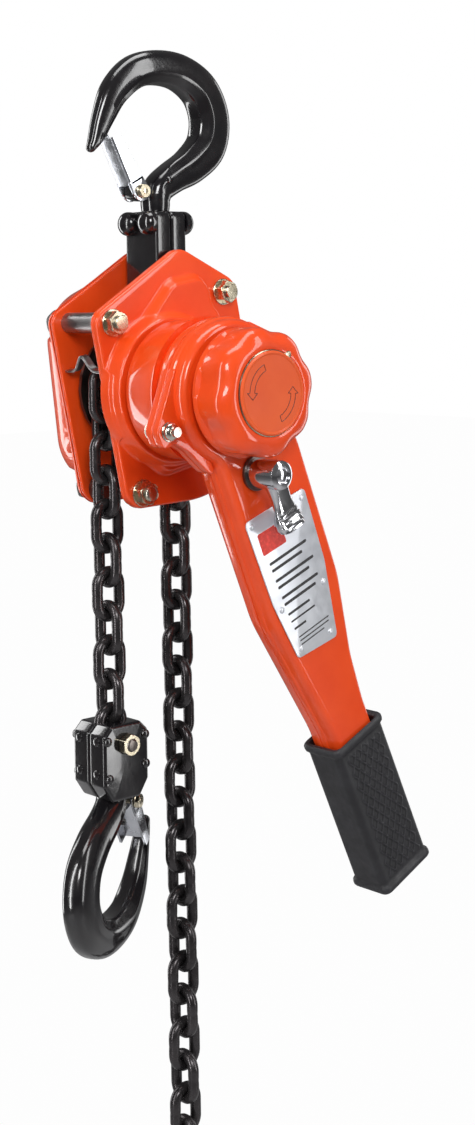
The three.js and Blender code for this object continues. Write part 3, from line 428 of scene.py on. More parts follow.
ORANGE = paint("orange_paint", (0.89, 0.079, 0.009), (0.82, 0.061, 0.006), (0.92, 0.2, 0.07), coat=0.8,
               rough=(0.34, 0.48), peel=0.05, haze=0.2)
ORANGE_DISC = paint("orange_disc", (0.8, 0.11, 0.02), (0.74, 0.088, 0.016), (0.9, 0.3, 0.2), coat=0.15,
                    rough=(0.38, 0.5), peel=0.1, haze=0.3)
BLACK = paint("black_paint", (0.006, 0.0055, 0.007), (0.011, 0.009, 0.01), (0.09, 0.075, 0.07), coat=0.8,
              rough=(0.12, 0.26), peel=0.12, wear=0.5)
CHAIN = metal("black_chain", (0.09, 0.083, 0.085), (0.04, 0.036, 0.038), rough=(0.18, 0.34), stained=0.2,
              stain=(0.05, 0.03, 0.02), metallic=0.75)
ZINC = metal("zinc_plate", (0.72, 0.74, 0.78), (0.55, 0.56, 0.6), rough=(0.14, 0.32), stained=0.12,
             stain=(0.3, 0.24, 0.2))
CHROME = metal("polished_chrome", (0.78, 0.78, 0.8), (0.6, 0.6, 0.63), rough=(0.06, 0.2), grain=180, strength=0.12,
               stain=(0.16, 0.13, 0.12))
# Zinc plating on the nuts and pivots; on the knob cap's rim the same bright colour is a painted highlight.
YELLOW_ZINC_AND_HIGHLIGHT = metal("yellow_zinc", (0.7, 0.64, 0.5), (0.56, 0.48, 0.33), rough=(0.16, 0.34), stained=0.3,
               stain=(0.2, 0.12, 0.05))
BRIGHT = metal("bright_bolt_end", (0.78, 0.76, 0.7), (0.6, 0.55, 0.46), rough=(0.12, 0.28), stained=0.2,
               stain=(0.25, 0.17, 0.1))
STEEL = metal("bare_steel", (0.42, 0.41, 0.41), (0.28, 0.27, 0.27), rough=(0.25, 0.45), stained=0.3)
DARK_STEEL = metal("dark_bolt_steel", (0.2, 0.18, 0.17), (0.1, 0.08, 0.07), rough=(0.25, 0.42), stained=0.35)
SIGN = metal("plate_sign", (0.74, 0.76, 0.8), (0.66, 0.68, 0.73), rough=(0.28, 0.42), grain=600, strength=0.05,
             stained=0.06, metallic=0.55)
RUBBER = rubber()
LINING = lining()
DARK_INK = ink("dark_ink", (0.02, 0.018, 0.02))
RED_INK = ink("red_ink", (0.72, 0.035, 0.02))


# ---- hooks ----
def forged_section(cx, cz, across, width, thickness, shape):
    """A section of the forged bow in the plane of 'across' and Y: round outside, flat sides and a bevelled
    inner edge where shape is 1, and a plain oval where it is 0."""
    loop = []
    power = 2 / (2.0 + 0.9 * shape)
    for a in turns(56):
        u, v = squared(a, power, power)
        v *= 1 - 0.1 * shape * (u + 1)
        if u < -0.3:
            limit = 1 + (0.72 * (u + 0.42)) * shape if u < -0.42 else 1
            v = max(-limit, min(limit, v * (1 + 0.1 * shape)))
        loop.append((cx + across[0] * u * width / 2, v * thickness / 2, cz + across[1] * u * width / 2))
    return loop


def hook_body(place):
    path = spline(HOOK_STATIONS, 7)
    loops = []
    for i, (x, z, width, thickness) in enumerate(path):
        ahead = path[min(i + 1, len(path) - 1)][:2] - path[max(i - 1, 0)][:2]
        ahead /= np.linalg.norm(ahead)
        across = (-ahead[1], ahead[0])
        shape = min(smooth(i / 12), smooth((len(path) - 1 - i) / 14))
        loops.append(forged_section(x, z, across, width, thickness, float(shape)))
    first = np.array(loops[0])
    middle = first.mean(axis=0)
    nose = path[0][:2] - path[1][:2]
    nose /= np.linalg.norm(nose)
    for reach, share in ((0.9, 0.86), (1.6, 0.6), (2.0, 0.25)):
        shifted_loop = middle + (first - middle) * share + np.array([nose[0], 0, nose[1]]) * reach
        loops.insert(0, [tuple(p) for p in shifted_loop])
    return moved(skin(loops), place)


TOP_PROFILE = [(8, -60), (8, -66), (7.6, -69.2), (4.8, -69.9), (4.8, -82), (7.4, -82.6), (7.4, -87.4), (6.8, -88)]
LOAD_PROFILE = [(8, -60), (8, -60.6), (7.8, -61.6), (5, -62), (5, -70), (7.6, -70.5), (7.6, -74.4), (7, -75)]
LATCH_X = -13.5
LATCH_LEAN = math.radians(-26.6)
LATCH_TIP_Z = -27.7
LATCH_BACK = -5.95
LATCH_WALL = 1.3


def along_x(part, x=0.0, y=0.0, z=0.0):
    """A part made about Y, laid along X with its start at x."""
    return moved(swap(part, (1, 0, 2)), shifted(x, y, z))


def hex_nut(r, y0, y1, x=0.0, z=0.0, crown=0.7):
    """A hexagonal nut or head from y0 to its outer face y1, with the turned chamfer that nuts have."""
    angles = [math.pi / 6 + k * math.pi / 3 for k in range(6)]
    flat = rounded([(x + r * math.cos(a), z + r * math.sin(a), 0.5) for a in angles], 72)
    sign = 1 if y1 > y0 else -1
    loops = [at_y(flat, y0)]
    for share in (0.0, 0.35, 0.7, 1.0):
        limit = r * (1 - 0.13 * share)
        away = flat - (x, z)
        reach = np.linalg.norm(away, axis=1)
        kept = (x, z) + away * np.minimum(1, limit / reach)[:, None]
        drop = crown * (1 - share) ** 1.5
        loops.append(at_y(kept, y1 - sign * drop))
    return skin(loops)


def domed_end(r, y0, y1, x=0.0, z=0.0):
    """A round bolt end from y0 to its slightly domed face at y1."""
    sign = 1 if y1 > y0 else -1
    return lathe([(r, y0), (r, y1 - sign * 0.9), (0.93 * r, y1 - sign * 0.45), (0.75 * r, y1 - sign * 0.15),
                  (0.35 * r, y1)], 40, x, z)


def washer(r, y0, y1, x=0.0, z=0.0):
    sign = 1 if y1 > y0 else -1
    return lathe([(r, y0), (r, y1 - sign * 0.2), (r - 0.25, y1)], 48, x, z)


def sweep(points, r, n, closed=False):
    """A round wire along points."""
    p = [Vector(q) for q in points]
    count = len(p)
    loops = []
    side = None
    for i, here in enumerate(p):
        after = p[(i + 1) % count] if closed or i + 1 < count else here
        before = p[i - 1] if closed or i else here
        ahead = (after - before).normalized()
        if side is None:
            side = ahead.orthogonal().normalized()
        side = (side - ahead * side.dot(ahead)).normalized()
        other = ahead.cross(side)
        loops.append([tuple(here + r * (math.cos(a) * side + math.sin(a) * other)) for a in turns(n)])
    return skin(loops, ring=closed)


def latch_sheet(length, half):
    """The pressed channel of the latch, its free end cut in a wave."""
    loops = []
    rows = 26
    bend = 1.6
    for i in range(rows):
        t = i / (rows - 1)
        z = 6 + (length - 7.2) * t
        reach = 4.2 - 3.4 * t
        outer, inner = [], []
        for side in (-1, 1):
            arc = quarter_turns(5)
            for edge, r, wall in ((outer, bend, 0), (inner, bend - LATCH_WALL, LATCH_WALL)):
                corner = [(LATCH_BACK + bend - r * math.cos(a), side * (half - bend + r * math.sin(a))) for a in arc]
                end = [(reach, side * (half - wall))]
                edge += end + corner[::-1] if side < 0 else corner + end
        wave = 0.6 * smooth((t - 0.8) / 0.2)
        loops.append([(x, y, z + wave * math.cos(y * 0.9)) for x, y in outer + inner[::-1]])
    verts, faces = skin(loops, capped=False)
    n = len(loops[0])
    half_n = n // 2
    for base, turn in ((0, False), ((rows - 1) * n, True)):
        for k in range(half_n - 1):
            quad = (base + k, base + k + 1, base + n - 2 - k, base + n - 1 - k)
            faces.append(quad[::-1] if turn else quad)
    return verts, faces


def latch_ear(side, half):
    rim = [polar(5.3, math.pi + math.pi * k / 16) for k in range(17)]
    outline = resample(rim + [(5.2, 1.0), (4.3, 7.5), (-5.9, 7.5), (-5.9, 1.0)], 90)
    return slab(outline, side * (half - 1.5), side * half, 0.35, 2)


def latch_spring():
    coil = [(3.3 * math.cos(a), 4.2 + 1.5 * k / 47, 3.3 * math.sin(a))
             for k, a in ((k, math.pi + 2.5 * 2 * math.pi * k / 47) for k in range(48))]
    return sweep(coil + [(-3.35, 5.4, 4), (-3.35, 5.2, 9), (-3.35, 5.1, 14)], 0.42, 8)


def add_hook(prefix, profile, latch_z, half, place, body, latch_body):
    """A hook with its sprung latch; profile is its shank's, and half is half the latch's width."""
    lug = slab(rounded([(LATCH_X - 5, latch_z - 3.6, 3.4), (LATCH_X + 1, latch_z - 5, 2), (-2, latch_z - 5, 1),
                        (-2, latch_z + 4.4, 1), (LATCH_X + 1, latch_z + 5, 2), (LATCH_X - 5, latch_z + 3.6, 3.4)]),
               -3.5, 3.5, 0.8)
    neck = moved(swap(lathe(profile, 48), (0, 2, 1)), place)
    boss = lathe([(1.9, -7.4), (1.8, -8.3), (1.3, -8.9), (0.5, -9.1)], 24, 3.5, latch_z + 6.5)
    forging = [hook_body(place), neck, moved(lug, place), moved(boss, place)]
    piece(f"{prefix}_hook_forging", forging, body, BLACK, (f"{prefix}_hook",), sharp=24)
    at_latch = turned_about(LATCH_X, latch_z, -LATCH_LEAN, place)
    length = (LATCH_TIP_Z - latch_z) / math.cos(LATCH_LEAN)
    sheet = [latch_sheet(length, half), latch_ear(-1, half), latch_ear(1, half)]
    piece(f"{prefix}_latch_sheet", sheet, latch_body, ZINC, (f"{prefix}_latch",), at_latch)
    head = half + 0.4
    bolt = [lathe([(2, -head), (2, head)], 24), washer(3.9, -head, -head - 0.6), hex_nut(3.9, -head - 0.5, -head - 2.6),
            domed_end(1.9, -head, -head - 2.9), domed_end(3.5, head, head + 2)]
    piece(f"{prefix}_latch_pivot", bolt, body, YELLOW_ZINC_AND_HIGHLIGHT, (f"{prefix}_latch_bolt",), at_latch, 14)
    piece(f"{prefix}_latch_coil", [latch_spring()], latch_body, STEEL, (f"{prefix}_latch_spring",),
          at_latch)


def add_yoke():
    """The two blocks between the top hook and the frame, and the rivets and pin through them."""
    for name, side in (("left", -1), ("right", 1)):
        outline = rounded([(-13.4, -119.9, 5), (13.4, -119.9, 5), (13.4, -69.6, 4.5), (-13.4, -69.6, 4.5)])
        block = along_x(slab(outline, side * 0.25, side * 10.45, 1.5, 5))
        piece(f"yoke_block_{name}", [block], "yoke", BLACK, (f"yoke_half_{name}",))
    for name, side in SIDES:
        y = side * 8.4
        ends = []
        for s in (-1, 1):
            profile = [(6.5, 10.6), (6.5, 12.6)] + dome(6.5, 12.6, 4.8, 9)
            ends.append(along_x(lathe([(r, s * along) for r, along in profile], 48), 0, y, -76))
        piece(f"yoke_rivet_{name}_heads", ends, "yoke", BLACK, (f"yoke_rivet_{name}",))
    pin = lathe([(5.4, -18.5), (6, -17.9), (6, 17.9), (5.4, 18.5)], 48, 0, -107)
    piece("top_pin_turned", [pin], "yoke", STEEL, ("top_pin",))


# ---- frame ----
SHOULDER_CORNERS = [(-31, 22, 12), (-31, -24, 12), (-12, -45, 12), (34, -45, 12), (47, -26, 12), (46, 26, 12),
                    (37, 55, 10), (14, 56, 10)]
FLANGE_RISE = 2.5  # a cover's flat rim, above its seat
DOME_R, DOME_RISE = 41.0, 12.45
SHOULDER_RISE = 8.0
GEAR_ANGLE = math.radians(85)
GEAR_SPACING = 25.0
GEAR_CASE_R, GEAR_CASE_RISE = 31.5, 24.0


def reach_of(loop, angles):
    """How far a closed outline round the origin reaches at each angle."""
    dense = resample(loop, 4000)
    at = np.unwrap(np.arctan2(dense[:, 1], dense[:, 0]))
    order = np.argsort(at % (2 * math.pi))
    turned = (at % (2 * math.pi))[order]
    radius = np.linalg.norm(dense, axis=1)[order]
    return np.interp(angles % (2 * math.pi), turned, radius, period=2 * math.pi)


def pressed_cover(heights, hole, rim):
    """Loops of a pressed sheet cover, from its rolled rim in to its hole and back underneath: heights(x, z)
    gives how far its face stands out from the plane it rests on."""
    angles = np.array(turns(288))
    c, s = np.cos(angles), np.sin(angles)
    reach = rim(angles)
    front, back = [], []
    rings, roll, roll_rings, lip = 84, 1.5, 6, 0.5
    for i in range(rings + 1):
        if i <= roll_rings:
            turn = math.pi / 2 * i / roll_rings
            r = reach - roll * (1 - math.cos(turn))
            height = lip + (heights((reach - roll) * c, (reach - roll) * s) - lip) * math.sin(turn)
        else:
            t = (i / rings) ** 0.9
            r = reach * (1 - t) + hole * t
            height = heights(r * c, r * s)
        front.append((r * c, height, r * s))
        back.append((r * c, np.maximum(height - COVER_WALL, 0.02), r * s))
    rows = front + back[::-1]
    return [[(float(a), float(b), float(c)) for a, b, c in zip(*row)] for row in rows]


def cover_part(loops, side):
    """A cover's mesh, seated on the front (side -1) or the rear (side 1) of the frame."""
    loops = [[(x, side * (COVER_SEAT + y), z) for x, y, z in loop] for loop in loops]
    return skin(loops, ring=True)


def plate_reach(angles):
    return reach_of(rounded(PLATE_CORNERS, 900), angles)


def dented(rise, x, z, near, over):
    """A rise brought down to nothing near the bolts."""
    for bx, bz in BOLT_SPOTS:
        rise = rise * smooth((np.hypot(x - bx, z - bz) - near) / over)
    return rise


def brake_heights(x, z):
    """The brake cover: a low shoulder dented round the bolts, and a round dome."""
    angle = np.arctan2(z, x)
    r = np.hypot(x, z)
    shoulder = reach_of(rounded(SHOULDER_CORNERS, 900), angle)
    rise = dented(smooth((shoulder + 0.6 - r) / 4.2), x, z, 9.2, 5.0)
    dome = smooth((DOME_R - r) / 3.6)
    level = FLANGE_RISE + (SHOULDER_RISE - FLANGE_RISE) * rise
    return level + (DOME_RISE - level) * dome


def gear_heights(x, z):
    """The gear cover: a long case with a slight crown, and pockets for the bolt heads."""
    c, s = math.cos(GEAR_ANGLE), math.sin(GEAR_ANGLE)
    along, across = x * c + z * s, -x * s + z * c
    past = np.maximum(np.abs(along) - GEAR_SPACING, 0)
    away = np.hypot(past, across)
    rise = np.sqrt(np.clip(1 - (1 - np.clip((GEAR_CASE_R - away) / 6.5, 0, 1)) ** 2, 0, 1))
    rise = dented(rise, x, z, 7.5, 2.6)
    foot = 1.2 * smooth((GEAR_CASE_R + 3 - away) / 3) * (1 - rise)
    crown = 0.9 * smooth((24 - away) / 12)
    return FLANGE_RISE + (GEAR_CASE_RISE - FLANGE_RISE) * rise + crown * rise + foot


def add_frame():
    """The side plates, their covers, and the bolts through them."""
    def put(name, parts, node, look=ORANGE, sharp=32):
        piece(name, parts, "frame", look, node, in_frame, sharp)

    outline = rounded(PLATE_CORNERS, 360)
    for name, side in SIDES:
        put(f"{name}_plate_rolled", [slab(outline, side * PLATE_INNER, side * PLATE_OUTER, 0.9)],
            (f"{name}_side_plate",))
    brake = cover_part(pressed_cover(brake_heights, 20.5, lambda a: np.maximum(plate_reach(a), DOME_R - 0.1)), -1)
    put("brake_cover_pressing", [brake], ("brake_cover",), sharp=50)
    gear = cover_part(pressed_cover(gear_heights, 4.6, plate_reach), 1)
    put("gear_cover_pressing", [gear], ("gear_cover",), sharp=50)
    put("gear_cover_plug", [lathe([(5.6, 42.2), (5.6, 43.4), (5.2, 43.9), (2, 43.95)], 40)], ())

    for i, (x, z) in enumerate(BOLT_SPOTS):
        number = i + 1
        head = hex_nut(BOLT_HEAD_R, 21.8, 27.7, x, z)
        nut = [hex_nut(6.3, -22.6, -27.75, x, z), washer(7.1, -21.75, -22.65, x, z)]
        if number == SHORT_BOLT:
            button = [(6.8, 15.95), (7.2, 15.6), (7.2, 13), (6.4, 12.4)]
            front = [lathe([(r, -y) for r, y in button], 48, x, z), domed_end(BOLT_R, -20, -29.9, x, z)]
            rear = [lathe(button, 48, x, z), head, domed_end(BOLT_R, 26, 27.95, x, z)]
            put("short_bolt_front_turned", front, ("short_bolt_front",), BRIGHT)
            put("short_bolt_rear_turned", rear, ("short_bolt_rear",), DARK_STEEL, 14)
        else:
            stay = [lathe([(5.3, -15.8), (5.45, -15.6), (5.45, 15.6), (5.3, 15.8)], 48, x, z),
                    domed_end(BOLT_R, -15.8, -29.9, x, z), head]
            put(f"stay_bolt_{number}_turned", stay, (f"stay_bolt_{number}",), STEEL, 14)
            thread = [(3.97, -29.0), (4.02, -29.2), (4.0, -29.6), (3.6, -29.93), (1.5, -29.99)]
            nut.append(lathe(thread, 40, x, z))
        put(f"stay_nut_{number}_chamfered", nut, (f"stay_nut_{number}",), YELLOW_ZINC_AND_HIGHLIGHT, 14)


def guide_strip():
    """The strip beside the incoming chain, humped across its middle."""
    loops = []
    for i in range(61):
        y = -15.75 + 31.5 * i / 60
        rise = 8 * math.exp(-((y / 5) ** 2))
        slope = -2 * y / 25 * rise
        size = math.hypot(1, slope)
        loop = []
        for a in turns(24):
            u, v = squared(a, 0.35, 0.2)
            u, v = u * 0.75, v * 2.05
            loop.append((-32.7 + v, y - u * slope / size, 17.2 + rise + u / size))
        loops.append(loop)
    return skin(loops)


# ---- lever ----
EAR_X = 44.0


def lever_outline():
    """The lever's face: its round head run into its arm, found by walking round the union of the two."""
    arm = rounded(ARM_CORNERS, 2400)
    arm = arm[np.hypot(arm[:, 0], arm[:, 1]) > HEAD_R - 0.05]
    lowest = arm[np.argsort(arm[:, 1])]
    lowest = lowest[lowest[:, 1] < -20]
    left = lowest[lowest[:, 0] < -1.0]
    right = lowest[lowest[:, 0] >= -1.0]
    right = right[np.argsort(right[:, 1])]
    left = left[np.argsort(-left[:, 1])]
    start = math.atan2(right[-1][1], right[-1][0])
    end = math.atan2(left[0][1], left[0][0]) + 2 * math.pi
    head = [polar(HEAD_R, a) for a in np.linspace(start, end, 300)[1:-1]]
    return resample(np.vstack([head, left, right]), 420)


def soften(loop):
    """The loop with its kinks eased."""
    for _ in range(2):
        loop = loop * 0.7 + 0.15 * (np.roll(loop, 1, axis=0) + np.roll(loop, -1, axis=0))
    return loop


def shell_loops(outline, steps):
    """Loops of an outline at (inset, y) pairs."""
    return [at_y(soften(inset(outline, d)) if d > 0.4 else inset(outline, d), y) for d, y in steps]


def quarter(d0, y0, d1, y1, steps):
    """(inset, y) pairs of a rounded corner, from a wall at d0 to a face at y1."""
    return [(d0 + (d1 - d0) * (1 - math.cos(a)), y0 + (y1 - y0) * math.sin(a)) for a in quarter_turns(steps)]


def ear(s, y0, y1):
    """A bolt ear on the side s, which runs straight into the lever's round head above."""
    corners = [(25, -8, 2), (26.5, -38, 6), (36.5, -15.5, 12), (43, -6.9, 5), (50.9, -6.9, 6.8), (50.9, 3.2, 6),
               (27, 27, 1), (26, 21, 1)]
    outline = rounded([(s * x, z, r) for x, z, r in corners], 240)
    return slab(outline, y0, y1, 0.6)


def holed_face(outer, holes, y):
    """A flat face at y inside one loop and outside others."""
    loops = [outer, *holes]
    verts = [(float(u), y, float(v)) for loop in loops for u, v in loop]
    faces = tessellate_polygon([[Vector((u, v, 0)) for u, v in loop] for loop in loops])
    return verts, [tuple(f) for f in faces]


def lever_shell(outline, steps, inner, holes):
    """Half the lever: a dished pressing from its seam to its face, with a wall and round holes."""
    outer_loops = shell_loops(outline, steps)
    inner_loops = shell_loops(outline, inner)
    face, back = steps[-1][1], inner[0][1]
    flat = [np.array([(p[0], p[2]) for p in loop]) for loop in (outer_loops[-1], inner_loops[0])]
    parts = [skin(outer_loops, capped=False), skin([inner_loops[-1], outer_loops[0]], capped=False),
             skin(inner_loops, capped=False), holed_face(flat[0], holes, face), holed_face(flat[1], holes, back)]
    parts += [skin([at_y(h, face), at_y(h, back)], capped=False) for h in holes]
    return together(parts)


def add_lever():
    """Two dished pressings that meet at the seam, the rear one with its drum, and their two bolts."""
    outline = lever_outline()
    holes = [circle(12.3, 64), circle(4.3, 32, SELECTOR_X, SELECTOR_Z)]
    rim = [(0.6, 0.15), (0, 0.5), (0, 2.6), (0.15, 3.3), (0.8, 3.9)]
    hollow = [(4.9, 8.8), (2.6, 6.0), (2.2, 0.15)]
    halves = []
    for side in (-1, 1):
        steps = [(d, -LEVER_SEAM + side * off) for d, off in rim]
        steps += quarter(1.1, -LEVER_SEAM + side * 5.4, 4.8, -LEVER_SEAM + side * 10.95, 8)
        inner = [(d, -LEVER_SEAM + side * off) for d, off in hollow]
        ears = [ear(s, -LEVER_SEAM + side * 0.15, -LEVER_SEAM + side * 4.9) for s in (-1, 1)]
        halves.append([lever_shell(outline, steps, inner, holes)] + ears)
    drum = [(38.5, -57.4), (37.2, -56.6), (36.6, -55.2), (36.45, -53.5), (36.45, -35.2), (35.9, -33.9), (34.6, -33.25),
            (12.5, -33.25), (12.5, -35.4), (34.2, -35.4), (34.2, -57.2)]
    halves[1].append(lathe(drum, 120, ring=True))
    for name, half in zip(("front", "rear"), halves):
        piece(f"lever_{name}_pressing", half, "lever", ORANGE, (f"lever_{name}_shell",), in_lever, 30)
    for name, side in (("left", -1), ("right", 1)):
        x = side * EAR_X
        bolt = [lathe([(2.5, -79.6), (2.5, -56.8)], 24, x, 0), washer(4.95, -73.0, -73.6, x),
                lathe([(4.4, -73.6), (4.4, -75.0)] + dome(4.4, -75, -2.2, 7), 40, x), hex_nut(4.95, -62.8, -58.9, x, 0)]
        piece(f"lever_bolt_{name}_turned", bolt, "lever", BRIGHT, (f"lever_bolt_{name}",), in_lever)


def selector_paddle():
    """The arm and toe of the selector, from its hub down, with ribs across the toe."""
    loops = []
    rows = 40
    for i in range(rows):
        t = i / (rows - 1)
        down = 34.0 * t - 2.0
        half = 6.3 - 0.7 * math.sin(math.pi * min(1, t * 1.25)) + 1.7 * smooth((t - 0.45) / 0.4)
        half *= math.sqrt(max(0.05, 1 - smooth((t - 0.93) / 0.09) * 0.75))
        front = -97.0 + 2.6 * smooth(t * 1.6) - 2.2 * smooth((t - 0.62) / 0.3)
        back = -86.0 - 3.2 * smooth(t * 2.2) + 2.4 * smooth((t - 0.6) / 0.3)
        if t > 0.66:
            front += 0.45 * math.cos((t - 0.66) * 75)
        mid, thick = (front + back) / 2, (back - front) / 2
        if t > 0.94:
            thick *= 1 - 0.4 * smooth((t - 0.94) / 0.06)
        loop = []
        for a in turns(32):
            u, v = squared(a, 0.5, 0.6)
            loop.append((SELECTOR_X + u * half, mid + v * thick, SELECTOR_Z - down))
        loops.append(loop)
    return skin(loops)


def add_selector():
    x, z = SELECTOR_X, SELECTOR_Z
    hub = lathe([(7.6, -81.0), (7.7, -81.6), (7.7, -97.6), (7.2, -98.9), (5.8, -99.8), (4.5, -100.1), (4.2, -99.4),
                 (3.9, -99.2), (3.4, -99.5), (2.0, -100.2)], 64, x, z)
    shaft = lathe([(3.95, -81), (3.95, -55.2)], 32, x, z)
    piece("change_lever_polished", [hub, selector_paddle(), shaft], "selector", CHROME,
          ("change_lever",), in_lever, 28)
    piece("change_lever_washer", [washer(9.0, -79.4, -81.15, x, z)], "selector", DARK_STEEL, (),
          in_lever)


def printed(corners, n):
    """A thin patch of ink on the nameplate."""
    return slab(rounded(corners, n), SIGN_FACE, SIGN_FACE - 0.1, 0.04, 1)


def add_nameplate():
    """The plate with its rivets, a plain field where the photo has a name, and bars where it has text."""
    sheet = slab(rounded(SIGN_CORNERS, 300), -79.3, -80.05, 0.25, 3)
    rivet = [(1.75, -80.0)] + dome(1.75, -80.0, -0.85, 6)
    rivets = [lathe(rivet, 24, x, z) for x, z in SIGN_RIVETS]
    piece("nameplate_sheet", [sheet] + rivets, "lever", SIGN, ("nameplate",), in_lever, 30)
    field = printed([(-20.3, -71.5, 1), (-20.8, -83.5, 1), (-3.5, -84.7, 1), (-3.0, -72.7, 1)], 120)
    piece("nameplate_red_field", [field], "lever", RED_INK, (), in_lever)
    bars = []
    for z, x0, x1, thick in ((-89.5, -19, 9, 0.8), (-93.5, -19, 4, 0.8), (-99.5, -19, 10, 0.8), (-103.5, -19, 5, 0.8),
                             (-109.5, -18.8, 9, 0.8), (-113.5, -18.8, 5.5, 0.8), (-119.5, -18.6, -2, 0.7),
                             (-124.0, -18.4, 0, 0.5), (-128.5, -18.0, -9, 0.6), (-134.0, -17.2, 6.5, 0.35),
                             (-136.2, -17.2, 5.5, 0.35), (-138.4, -17.2, 1, 0.35)):
        lean = 0.05 * (x1 - x0)
        bars.append(printed([(x0, z - thick, 0.2), (x1, z - thick - lean, 0.2), (x1, z + thick - lean, 0.2),
                             (x0, z + thick, 0.2)], 60))
    piece("nameplate_bars", bars, "lever", DARK_INK, (), in_lever)


GRIP_X, GRIP_Y = (-21.5, 18.3), (-82.0, -54.5)
GRIP_TOP, GRIP_BOTTOM = -203.0, -296.0
GRIP_SKIN = 1.3  # how far its lips stand out from its body


def box_loop(cx, cy, hx, hy, r):
    return rounded([(cx + i * hx, cy + j * hy, r) for i, j in ((-1, -1), (1, -1), (1, 1), (-1, 1))], 288)


def grip_ring(z, out, ridges=0.0):
    """A loop of the grip's skin at height z, 'out' beyond its body; ridges lifts the diamonds on its broad faces."""
    cx, cy = sum(GRIP_X) / 2, sum(GRIP_Y) / 2
    hx, hy = (GRIP_X[1] - GRIP_X[0]) / 2 - GRIP_SKIN + out, (GRIP_Y[1] - GRIP_Y[0]) / 2 - GRIP_SKIN + out
    base = box_loop(cx, cy, hx, hy, 4.5)
    if ridges <= 0:
        return at_z(base, z)
    loop = []
    for x, y in base:
        flat = smooth((abs(y - cy) - (hy - 0.4)) / 0.3) * smooth((hx - 4.6 - abs(x - cx)) / 1.2)
        u, v = (x - cx) / 5.4, z / 8.2
        groove = min(abs(((u + v) % 1.0) - 0.5), abs(((u - v) % 1.0) - 0.5))
        height = 0.8 * smooth((groove - 0.04) / 0.12) - 0.8
        loop.append((float(x), float(y + math.copysign(height * flat * ridges, y - cy)), z))
    return loop


def add_grip():
    """The moulded grip: a lip at each end, diamonds between them, and the hollow that the arm goes into."""
    lip = [(0.0, 0.35), (0.5, 0.9), (1.2, 1.25), (2.6, 1.3), (3.9, 1.1), (4.6, 0.6), (5.4, 0.1), (6.4, 0.0)]
    loops = [grip_ring(GRIP_TOP - down, out - 0.02) for down, out in lip]
    high, low, rows = GRIP_TOP - 7.0, GRIP_BOTTOM + 7.0, 230
    for i in range(rows + 1):
        at = high + (low - high) * i / rows
        fade = smooth((high - at) / 2.5) * smooth((at - low) / 2.5)
        loops.append(grip_ring(at, 0.0, max(0.001, fade)))
    loops += [grip_ring(GRIP_BOTTOM + down, out - 0.02) for down, out in lip[::-1]]
    hole = box_loop(-2.0, -68.0, 15.85, 11.35, 3)
    hollow = []
    for at, grow in ((-284.8, 0), (GRIP_TOP - 3, 0), (GRIP_TOP - 0.8, 0.3), (GRIP_TOP - 0.1, 1.3)):
        hollow.append(at_z(inset(hole, -grow), at))
    piece("grip_moulding", [skin(loops[::-1] + hollow[::-1])], "lever", RUBBER, ("grip",), in_lever, 40)


# ---- knob ----
KNOB_SCALLOPS = 8


def add_knob():
    """The scalloped knob, its cap in a rim given a bright plated colour as a painted highlight of the lit wall round
    the cap, and two curved arrows drawn as fine raised lines.
    """
    angles = np.array(turns(384))
    wave = 1.25 * (0.5 - 0.5 * np.cos(KNOB_SCALLOPS * angles)) ** 1.4

    def loop(r, y, depth=0.0):
        reach = r - depth * wave
        return [(float(a), y, float(b)) for a, b in zip(reach * np.cos(angles), reach * np.sin(angles))]
    rows = [(25.2, -82.1), (32.2, -82.05), (32.9, -82.5), (32.95, -84.2), (32.6, -85.0, 0.5), (32.6, -85.8, 1.3),
            (32.9, -87.0, 1.6), (32.95, -97.2, 1.6), (32.6, -98.9, 1.7), (31.6, -100.5, 1.7), (30.2, -101.7, 1.5),
            (28.4, -102.7, 1.1), (26.4, -103.5, 0.6), (24.9, -103.9, 0.2), (23.6, -103.95), (22.2, -103.9),
            (21.75, -103.6), (21.7, -103.05), (6, -103.05), (6, -96), (25.0, -96)]
    moulding = skin([loop(*row) for row in rows], ring=True)
    piece("knob_moulding", [moulding], "knob", ORANGE, ("freewheel_knob",), in_frame, 34)
    face = lathe([(20.9, -103.1), (21.1, -104.6), (20.7, -105.25), (20.0, -105.45), (19.4, -105.3), (19.1, -105.1),
                  (3, -105.1)], 120)
    piece("knob_cap_face", [face], "knob", ORANGE_DISC, ("knob_cap",), in_frame, 28)
    # The rim's bright plated colour, all the way round, is a painted highlight standing in for the lit inner wall round
    # the cap.
    rim = lathe([(21.15, -103.2), (21.55, -103.3), (21.6, -104.0), (21.2, -104.2)], 120, ring=True)
    slot = lathe([(1.9, -103.5), (1.9, -104.3), (1.5, -104.6), (0.5, -104.65)], 32, 15.2, 15.9)
    piece("knob_cap_rim", [rim, slot], "knob", YELLOW_ZINC_AND_HIGHLIGHT, (), in_frame)
    lines = []
    for start in (100, 280):
        arc = [math.radians(start + 66 * k / 30) for k in range(31)]
        head = [polar(17.2, arc[-1]), polar(13.8, math.radians(start + 80)), polar(10.4, arc[-1])]
        outline = resample([polar(15.4, a) for a in arc] + head + [polar(12.2, a) for a in arc[::-1]], 200)
        lines.append(sweep(at_y(outline, -105.12), 0.16, 6, True))
    piece("knob_arrows", lines, "knob", DARK_INK, (), in_frame)


